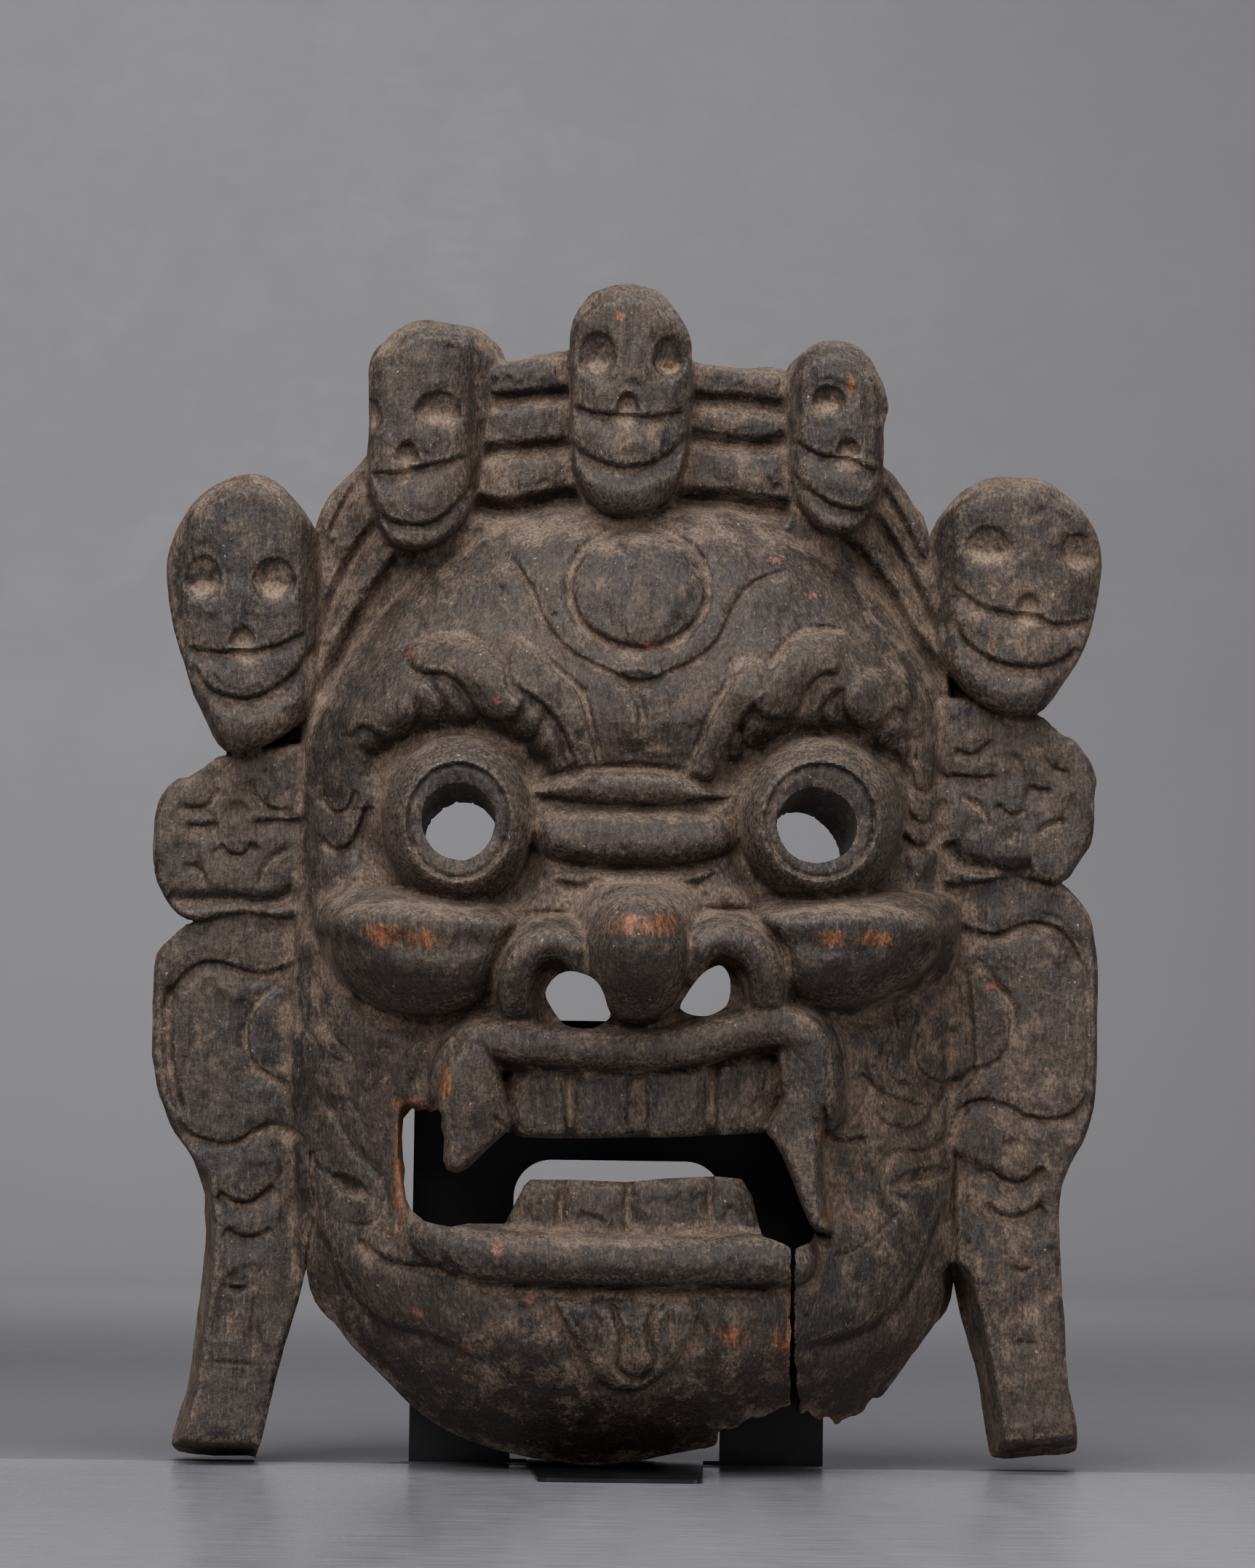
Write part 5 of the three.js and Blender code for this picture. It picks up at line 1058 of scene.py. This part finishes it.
# Hollow inside, with chisel marks on it and on the whole back
BOWL = [
    (-100, 110), (-101, 200), (-97, 262), (-84, 300), (-52, 335), (0, 346), (56, 335), (92, 300),
    (104, 262), (107, 200), (107, 110), (98, 70), (66, 38), (0, 26), (-56, 36), (-88, 70)]
FACE_WALL = 17
CROWN_THINNING = 36
CHISEL = 1.1
COARSE = 3
full_bowl = np.full(H.shape, -30.0)
w, s = inside(curve(BOWL, True), 30)
full_bowl[w] = s
room = np.minimum(by_height(MIDDLE_DEPTH, 4), 96) - FACE_WALL
crown = CROWN_THINNING * smooth(Z, 325, 440)
rounded = dome(np.clip(full_bowl / 60, 0, 1))
back = np.where(full_bowl > 0, np.maximum(room * rounded, crown), crown)
back += 0.1 + CHISEL * np.minimum(np.abs(noise(7, 5, 10)), 2) * np.where(full_bowl > -4, 1, 0.6)
back = back[::COARSE, ::COARSE]
cells = np.ones((back.shape[0] - 1, back.shape[1] - 1), bool)
hollow_block = block(X_LINE[::COARSE], Z_LINE[::COARSE], back, cells, -60)
combine(mask, grid_object("hollow", *hollow_block), "DIFFERENCE")

# Openings, each cut forwards from behind the back plane
NOSTRIL_LEFT = [
    (-26, 173), (-25, 178), (-21, 182), (-17, 183), (-12, 182), (-8, 180), (-5, 176), (-3, 170), (-2, 166),
    (-8, 162), (-15, 162), (-20, 164)]
NOSTRIL_RIGHT = [
    (24, 170), (26, 174), (30, 180), (34, 184), (39, 186), (42, 183), (43, 178), (42, 172), (39, 169),
    (34, 167), (28, 167.5)]
MOUTH = [
    (-78.6, 127), (-76.8, 129.2), (-75.4, 131.4), (-73.6, 129.8), (-70.5, 130.6), (-68.2, 129.4),
    (-65.6, 131), (-64.2, 128.6), (-64.6, 124), (-63.2, 120), (-63.6, 112), (-62, 108), (-58, 106.9),
    (-54, 109), (-50, 113), (-45, 118), (-40, 122.5), (-34, 120.7), (-20, 120.4), (0, 121), (20, 121.4),
    (40, 122.6), (57, 123.6), (60, 120.4), (63, 115), (67, 106), (70, 98), (73, 91), (75.6, 87.3),
    (74.6, 83.4), (69, 81), (67.5, 80), (65, 82), (60, 84), (56, 85), (54.5, 90), (52, 100), (48, 106.4),
    (38, 107.2), (20, 106.2), (5, 104.6), (-15, 105.2), (-31, 105), (-33, 103), (-37, 95), (-40, 88.5),
    (-54, 88.4), (-60, 87), (-66, 88), (-70, 89), (-75, 93), (-77, 97), (-78, 103), (-77.6, 108),
    (-78.4, 112), (-79, 120)]
CRACK = [
    (66.2, 83), (66.9, 78), (66.5, 74), (67.2, 70), (66.7, 66), (67.0, 60), (66.5, 55), (67.3, 50),
    (66.8, 45), (67.2, 40), (66.6, 35), (67.4, 30), (67.0, 26), (67.5, 20), (67.2, 12), (71.2, 12),
    (70.4, 18), (70.7, 24), (69.3, 30), (69.5, 35), (68.3, 40), (68.8, 45), (68.2, 50), (68.7, 55),
    (68.0, 60), (68.5, 66), (68.0, 70), (68.6, 75), (68.2, 79), (69.2, 83)]
TONGUE_SLOT = [(-36, -25), (40, -25), (40, -4.2), (-36, -4.2)]
BEHIND = -10
BEYOND = 150
for tool in [
        prism(ellipse(-61.6, 248.3, 13.9, 14.5, 0.04, 1), BEHIND, BEYOND, 6.5, -37),
        prism(ellipse(81.3, 251.3, 15, 14.5, 0.04, 2), BEHIND, BEYOND, -25, -46),
        prism(curve(NOSTRIL_LEFT, True, 4), BEHIND, 170),
        prism(curve(NOSTRIL_RIGHT, True, 4), BEHIND, 170),
        prism(MOUTH, BEHIND, BEYOND),
        prism(CRACK, BEHIND, BEYOND),
        prism(TONGUE_SLOT, BEHIND, 100, 0, 6.9)]:
    combine(mask, tool, "DIFFERENCE")

TRIANGLES = 190000
mesh = mask.data
count = sum(len(p.vertices) - 2 for p in mesh.polygons)
mod = mask.modifiers.new("soften", "SMOOTH")
mod.factor = 0.35
mod.iterations = 2
mod = mask.modifiers.new("thin", "DECIMATE")
mod.ratio = min(1.0, TRIANGLES / count)
settle(mask)


# Surface marks kept on the points of the mesh
def sample(field, x, z):
    """Value of a field between its grid points."""
    j = np.clip((x - X_LINE[0]) / STEP, 0, len(X_LINE) - 1.001)
    i = np.clip((z - Z_LINE[0]) / STEP, 0, len(Z_LINE) - 1.001)
    j0, i0 = j.astype(int), i.astype(int)
    fj, fi = j - j0, i - i0
    return ((field[i0, j0] * (1 - fj) + field[i0, j0 + 1] * fj) * (1 - fi)
            + (field[i0 + 1, j0] * (1 - fj) + field[i0 + 1, j0 + 1] * fj) * fi)


def patches(x, z, spots):
    """Strength of soft patches at each place, each one a middle and half sizes along x and z."""
    total = np.zeros_like(x)
    for cx, cz, rx, rz in spots:
        total = np.maximum(total, np.clip(1.25 - np.hypot((x - cx) / rx, (z - cz) / rz), 0, 1))
    return total


# Patches of red paint, bare wood, dust, darkening, and dark brown with painted shade, as middle and half
# sizes along x and z
RED = [
    (-30, 61, 3, 3), (-43, 79, 3, 4), (11, 306, 4, 2), (58, 339, 4, 2), (73, 326, 5, 2), (141, 180, 4, 3),
    (-2, 431, 2, 2.5), (-79, 301, 2.5, 2), (-46, 284, 2.5, 2)]
BARE = [
    (-86, 196, 11, 5), (-72, 194.5, 8, 4.5), (80, 197, 8, 4), (97, 197, 9, 4), (4, 201, 10, 5.5),
    (17, 201, 9, 5), (64, 44, 2.5, 6), (-77, 132, 9, 4.5), (-79.5, 106, 3.4, 30), (67, 55, 2, 26),
    (-70, 131, 7, 2), (78, 123, 2, 5), (80, 93, 2, 4), (-63, 140, 2.5, 7), (45, 48, 8, 4.5), (62, 46, 3, 6),
    (83, 17.5, 11, 1.6), (96, 23, 4, 1.6), (-72, 55, 3, 2), (-55, 42, 3, 2), (17, 412, 5, 1.2),
    (-2, 431, 2, 2.5), (85.5, 405.5, 2.5, 5)]
DUSTY = [
    (5, 214, 44, 8), (-45, 372, 10, 34), (40, 372, 22, 30), (-104, 330, 14, 30), (106, 325, 16, 30),
    (-15, 350, 40, 8), (35, 350, 34, 8), (-80, 208, 28, 6), (90, 209, 30, 6), (-114, 290, 6, 40),
    (115, 270, 6, 40), (-33, 235, 5, 24), (46, 236, 6, 24), (100, 90, 18, 26), (0, 82, 46, 3),
    (-88, 84, 14, 12), (-107, 160, 6, 34), (118, 165, 8, 30), (36, 215, 20, 6), (150, 110, 26, 90),
    (0, 38, 70, 22), (150, 330, 30, 36), (0, 378, 20, 10), (100, 130, 22, 50), (-125, 272, 14, 18),
    (-16.2, 135, 2, 16), (9, 135, 3.2, 16), (37, 136, 2, 16), (-19.3, 95, 1.6, 12), (6, 95, 1.6, 12),
    (36.4, 96, 1.4, 12), (5, 247, 36, 2.4), (5, 259, 34, 2), (-9, 400, 1.2, 7), (172.5, 320, 1.2, 8),
    (-139, 48, 4, 12), (155, 58, 4, 12), (-141, 152, 2, 2)]
DEEPER = [(6, 278, 40, 34), (6, 240, 40, 20), (-60, 288, 42, 18), (68, 288, 42, 18)]
# Dark brown of the nose ball, and painted shade under the nose wings, cheek bags, lip corner and jaw
BROWN_AND_PAINTED_SHADE = [
    (8, 186, 19, 20), (-20, 175, 14, 10), (35, 175, 14, 10), (0, 22, 60, 12), (-78, 182, 26, 10),
    (86, 184, 26, 10), (-52, 128, 10, 16)]

mesh = mask.data
co = np.empty(len(mesh.vertices) * 3, np.float32)
mesh.vertices.foreach_get("co", co)
co = co.reshape(-1, 3).astype(float)
px, depth, pz = co[:, 0], -co[:, 1], co[:, 2]
front = np.clip(1.5 - np.abs(depth - sample(H, px, pz)) / 2, 0, 1)
BACK_DUST = 0.45
# Painted shade on the side walls, the back and the bores of the eyes
BACK_PAINTED_SHADE = 0.4
SHARP_ANGLE = 52


def mark(name, values):
    """Keeps a value for each point, for the material to read."""
    layer = mesh.attributes.new(name, "FLOAT", "POINT")
    layer.data.foreach_set("value", values.astype(np.float32))


# Sockets and noses of the skulls hold dust, most of all on their floors
sockets = [(cx, cz, 0.82 * rx, 0.82 * rz) for skull in SKULLS for cx, cz, rx, rz, _ in skull["sockets"]]
sockets += [skull["nose"] for skull in SKULLS]
floors = [(cx, cz - 0.5 * rz, 0.75 * rx, 0.5 * rz) for cx, cz, rx, rz in sockets]
in_socket = patches(px, pz, sockets)
laid = 0.45 * patches(px, pz, DUSTY) + 0.45 * in_socket + 1.3 * patches(px, pz, floors)
mark("dust", np.clip(sample(dust, px, pz) + laid, 0, 2) * front + BACK_DUST * (1 - front))
mark("ridge", sample(ridge, px, pz) * front)
# Painted shade: undersides, mostly left out of the sockets, the dark brown and shaded patches, and weaker
# darkening on forehead, bridge and brows
shaded = np.maximum(sample(under, px, pz) * (1 - 0.8 * in_socket), patches(px, pz, BROWN_AND_PAINTED_SHADE))
mark("under", np.maximum(shaded, 0.4 * patches(px, pz, DEEPER)) * front + BACK_PAINTED_SHADE * (1 - front))
mark("bare", patches(px, pz, BARE) * front)
mark("red", patches(px, pz, RED) * front)
mesh.vertices.foreach_set("co", place(co).astype(np.float32).ravel())
mesh.update()
mesh.shade_smooth()
mesh.set_sharp_from_angle(angle=math.radians(SHARP_ANGLE))

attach(mask, "root")
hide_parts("mask")


# Materials
class Nodes:
    """Short words for building the node tree of a material."""

    def __init__(self, name):
        self.material = bpy.data.materials.new(name)
        self.material.use_nodes = True
        self.tree = self.material.node_tree
        self.tree.nodes.clear()
        self.shader = self.tree.nodes.new("ShaderNodeBsdfPrincipled")
        out = self.tree.nodes.new("ShaderNodeOutputMaterial")
        self.tree.links.new(self.shader.outputs[0], out.inputs[0])
        self.coord = self.tree.nodes.new("ShaderNodeTexCoord").outputs["Object"]

    def put(self, socket, value):
        if isinstance(value, bpy.types.NodeSocket):
            self.tree.links.new(value, socket)
        else:
            socket.default_value = value

    def noise(self, scale, detail=4, rough=0.55, stretch=(1, 1, 1), distortion=0.0):
        mapping = self.tree.nodes.new("ShaderNodeMapping")
        mapping.inputs["Scale"].default_value = stretch
        self.tree.links.new(self.coord, mapping.inputs["Vector"])
        node = self.tree.nodes.new("ShaderNodeTexNoise")
        self.tree.links.new(mapping.outputs[0], node.inputs["Vector"])
        node.inputs["Scale"].default_value = scale
        node.inputs["Detail"].default_value = detail
        node.inputs["Roughness"].default_value = rough
        node.inputs["Distortion"].default_value = distortion
        return node.outputs["Fac"]

    def attribute(self, name):
        node = self.tree.nodes.new("ShaderNodeAttribute")
        node.attribute_name = name
        return node.outputs["Fac"]

    def math(self, kind, a, b):
        node = self.tree.nodes.new("ShaderNodeMath")
        node.operation = kind
        for socket, value in zip(node.inputs, (a, b)):
            self.put(socket, value)
        return node.outputs[0]

    def ramp(self, value, lo, hi, to_lo=0.0, to_hi=1.0):
        node = self.tree.nodes.new("ShaderNodeMapRange")
        node.interpolation_type = "SMOOTHSTEP"
        for socket, v in zip(node.inputs, (value, lo, hi, to_lo, to_hi)):
            self.put(socket, v)
        return node.outputs[0]

    def mix(self, factor, a, b, kind="MIX"):
        node = self.tree.nodes.new("ShaderNodeMix")
        node.data_type = "RGBA"
        node.blend_type = kind
        self.put(node.inputs[0], factor)
        self.put(node.inputs[6], a)
        self.put(node.inputs[7], b)
        return node.outputs[2]

    def bump(self, height, strength, distance, normal=None):
        node = self.tree.nodes.new("ShaderNodeBump")
        node.inputs["Strength"].default_value = strength
        node.inputs["Distance"].default_value = distance
        self.tree.links.new(height, node.inputs["Height"])
        if normal is not None:
            self.tree.links.new(normal, node.inputs["Normal"])
        return node.outputs[0]


def colour(r, g, b):
    """Linear colour from the usual 0 to 255 values."""
    linear = [(v / 255) / 12.92 if v <= 10 else ((v / 255 + 0.055) / 1.055) ** 2.4 for v in (r, g, b)]
    return (*linear, 1.0)


def wood_material():
    """Old dark wood: patina, dust in the hollows, worn edges, bare patches, traces of red and painted shade
    on the undersides.
    """
    n = Nodes("patinated_wood")
    fibre = n.noise(300, 4, 0.65, (3, 3, 0.45), 0.35)
    strand = n.noise(130, 4, 0.6, (2.2, 2.2, 0.3), 0.5)
    cloud = n.noise(20, 4, 0.62)
    mottle = n.noise(95, 5, 0.68)
    crumb = n.noise(620, 4, 0.7)
    speck = n.noise(480, 2, 0.5)
    grit = n.noise(900, 3, 0.75, (1, 1, 0.5))
    dark = n.mix(n.ramp(cloud, 0.35, 0.65), colour(54, 48, 47), colour(76, 64, 56))
    dark = n.mix(n.ramp(mottle, 0.45, 0.68, 0, 0.5), dark, colour(92, 79, 69))
    dark = n.mix(n.ramp(strand, 0.46, 0.64, 0, 0.5), dark, colour(42, 35, 32))
    dark = n.mix(n.ramp(fibre, 0.55, 0.7, 0, 0.5), dark, colour(116, 102, 91))
    # Painted shade: the under mark darkens undersides, bores and shaded patches towards dark brown
    dark = n.mix(n.math("MULTIPLY", n.attribute("under"), 0.75), dark, colour(44, 33, 28))
    dusty = n.mix(n.ramp(mottle, 0.35, 0.65), colour(82, 69, 61), colour(122, 104, 91))
    dusty = n.mix(n.ramp(crumb, 0.5, 0.68, 0, 0.5), dusty, colour(62, 51, 44))
    dusty = n.mix(n.ramp(n.attribute("dust"), 1.0, 1.7), dusty, colour(134, 115, 99))
    break_up = n.math("ADD", n.ramp(mottle, 0.3, 0.7, -0.34, 0.34), n.ramp(crumb, 0.3, 0.7, -0.2, 0.2))
    break_up = n.math("ADD", break_up, n.ramp(fibre, 0.35, 0.65, 0.14, -0.14))
    amount = n.ramp(n.math("ADD", n.attribute("dust"), break_up), 0.1, 0.85)
    base = n.mix(amount, dark, dusty)
    edge = n.math("MULTIPLY", n.attribute("ridge"), n.ramp(crumb, 0.35, 0.6))
    base = n.mix(n.ramp(edge, 0.15, 0.8, 0, 0.5), base, colour(112, 98, 86))
    bare = n.ramp(n.math("ADD", n.attribute("bare"), n.ramp(fibre, 0.35, 0.65, -0.35, 0.2)), 0.25, 0.65)
    raw = n.mix(n.ramp(strand, 0.35, 0.6), colour(152, 98, 65), colour(92, 60, 43))
    base = n.mix(n.math("MULTIPLY", bare, 0.8), base, raw)
    red = n.ramp(n.math("ADD", n.attribute("red"), n.ramp(crumb, 0.3, 0.7, -0.45, 0.3)), 0.45, 0.65)
    base = n.mix(n.math("MULTIPLY", red, 0.75), base, colour(140, 86, 75))
    base = n.mix(n.ramp(speck, 0.725, 0.75, 0, 0.8), base, colour(158, 142, 120))
    base = n.mix(1.0, base, n.ramp(grit, 0.36, 0.64, 0.62, 1.36), "MULTIPLY")
    n.put(n.shader.inputs["Base Color"], base)
    rough = n.ramp(amount, 0, 1, 0.56, 0.9)
    rough = n.math("ADD", rough, n.ramp(mottle, 0.3, 0.7, -0.08, 0.12))
    n.put(n.shader.inputs["Roughness"], rough)
    n.shader.inputs["Specular IOR Level"].default_value = 0.36
    normal = n.bump(strand, 0.5, 0.0012)
    normal = n.bump(mottle, 0.55, 0.0016, normal)
    normal = n.bump(fibre, 0.5, 0.0006, normal)
    normal = n.bump(crumb, 0.75, 0.0006, normal)
    n.put(n.shader.inputs["Normal"], normal)
    return n.material


def steel_material():
    """Gloss black paint on sheet steel, with specks of dust."""
    n = Nodes("black_sheet")
    speck = n.noise(900, 2, 0.5)
    cloud = n.noise(25, 4, 0.6)
    base = n.mix(n.ramp(cloud, 0.3, 0.7), colour(14, 14, 16), colour(22, 22, 24))
    n.put(n.shader.inputs["Base Color"], n.mix(n.ramp(speck, 0.7, 0.75, 0, 0.5), base, colour(90, 88, 84)))
    n.put(n.shader.inputs["Roughness"], n.ramp(cloud, 0.3, 0.7, 0.28, 0.4))
    n.put(n.shader.inputs["Normal"], n.bump(n.noise(600, 3, 0.5), 0.12, 0.0001))
    return n.material


for obj, material in [(mask, wood_material()), (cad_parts["display_stand"], steel_material())]:
    obj.data.materials.clear()
    obj.data.materials.append(material)


# Studio, in metres
TABLE_END = 0.06
TABLE_EDGE = 0.004
FLOOR_FRONT = -6.0
WALL_START = 2.6
BEND = 0.8
WALL_TOP = 5.0
HALF_WIDTH = 7.0
BEND_STEPS = 24


def sweep_material():
    """Pale table top in front, with painted reflections in streaks; paper behind it that runs up the wall,
    with painted shade that darkens it low down.
    """
    n = Nodes("studio_paper")
    split = n.tree.nodes.new("ShaderNodeSeparateXYZ")
    n.tree.links.new(n.coord, split.inputs[0])
    table = n.ramp(split.outputs[1], TABLE_END - TABLE_EDGE, TABLE_END + TABLE_EDGE, 1.0, 0.0)
    # Painted shade: the paper is darkest just behind the table and lightens towards the wall, as light
    # falls off low down
    away = n.ramp(split.outputs[1], 0.8, WALL_START + BEND)
    wall = n.mix(n.noise(3, 2, 0.5), colour(150, 148, 152), colour(156, 154, 158))
    paper = n.mix(away, colour(108, 107, 112), wall)
    # Lighter streaks running front to back on the table are tone and painted reflections of the soft boxes;
    # the fine streaks across are its brushed finish
    streak = n.noise(9, 4, 0.6, (1, 0.12, 1))
    brushed = n.noise(60, 4, 0.7, (0.5, 6, 1))
    table_with_painted_streaks = n.mix(n.ramp(streak, 0.3, 0.7), colour(124, 124, 130), colour(138, 138, 143))
    table_with_painted_streaks = n.mix(n.ramp(brushed, 0.4, 0.7, 0, 0.4), table_with_painted_streaks, colour(160, 160, 166))
    n.put(n.shader.inputs["Base Color"], n.mix(table, paper, table_with_painted_streaks))
    shine = n.math("ADD", n.ramp(streak, 0.35, 0.65, 0.15, 0.26), n.ramp(brushed, 0.3, 0.7, 0, 0.12))
    n.put(n.shader.inputs["Roughness"], n.math("ADD", shine, n.ramp(table, 0, 1, 0.45, 0)))
    n.put(n.shader.inputs["Normal"], n.bump(n.noise(240, 3, 0.6, (1, 0.3, 1)), 0.12, 0.0004))
    return n.material


profile = [(FLOOR_FRONT, 0.0), (WALL_START, 0.0)]
for i in range(1, BEND_STEPS + 1):
    a = math.pi / 2 * i / BEND_STEPS
    profile.append((WALL_START + BEND * math.sin(a), BEND - BEND * math.cos(a)))
profile.append((WALL_START + BEND, WALL_TOP))
points = [(x, y, z) for x in (-HALF_WIDTH, HALF_WIDTH) for y, z in profile]
rows = len(profile)
sweep = mesh_object("sweep", points, [(i, rows + i, rows + i + 1, i + 1) for i in range(rows - 1)])
sweep.data.shade_smooth()
sweep.data.materials.append(sweep_material())

# Soft boxes: name, place, target, width and height, and power in watts
MASK_MIDDLE = (0, 0, 0.2)
LIGHTS = [
    ("top_box", (-0.15, -0.7, 1.6), MASK_MIDDLE, (1.5, 1.0), 27),
    ("front_box", (-0.8, -2.3, 1.4), MASK_MIDDLE, (1.8, 1.2), 38),
    ("right_fill", (1.6, -1.5, 0.7), MASK_MIDDLE, (1.2, 1.2), 9),
    ("back_fill", (0.8, 1.3, 1.9), MASK_MIDDLE, (1.2, 1.0), 14),
    ("backdrop_wash", (-0.45, 1.6, 1.5), (-0.4, 3.4, 0.7), (1.6, 0.6), 19)]
WORLD_LIGHT = 0.13
for name, origin, target, size, power in LIGHTS:
    light = bpy.data.lights.new(name, "AREA")
    light.shape = "RECTANGLE"
    light.size, light.size_y = size
    light.energy = power
    obj = add_object(name, light)
    obj.location = origin
    obj.rotation_euler = (Vector(target) - Vector(origin)).to_track_quat("-Z", "Y").to_euler()

world = bpy.data.worlds.new("studio")
world.use_nodes = True
world.node_tree.nodes["Background"].inputs[0].default_value = (1, 1, 1, 1)
world.node_tree.nodes["Background"].inputs[1].default_value = WORLD_LIGHT
bpy.context.scene.world = world

# Camera, turned by the three angles from a level look along y
back_axis = np.array([math.sin(YAW) * math.cos(PITCH), -math.cos(YAW) * math.cos(PITCH), math.sin(PITCH)])
right_axis = np.cross(-back_axis, (0, 0, 1))
right_axis /= np.linalg.norm(right_axis)
up_axis = np.cross(right_axis, -back_axis)
cam_x = right_axis * math.cos(ROLL) + up_axis * math.sin(ROLL)
cam_y = up_axis * math.cos(ROLL) - right_axis * math.sin(ROLL)
lens = bpy.data.cameras.new("camera")
lens.sensor_fit = "VERTICAL"
lens.sensor_height = SENSOR
lens.lens = LENS
lens.clip_start = CLIP_START
lens.clip_end = CLIP_END
camera = add_object("camera", lens)
eye = (EYE + (SHIFT_X, SHIFT_Y, 0)) / 1000
matrix = np.eye(4)
matrix[:3, 0], matrix[:3, 1], matrix[:3, 2], matrix[:3, 3] = cam_x, cam_y, back_axis, eye
camera.matrix_world = Matrix(matrix.tolist())
bpy.context.scene.camera = camera
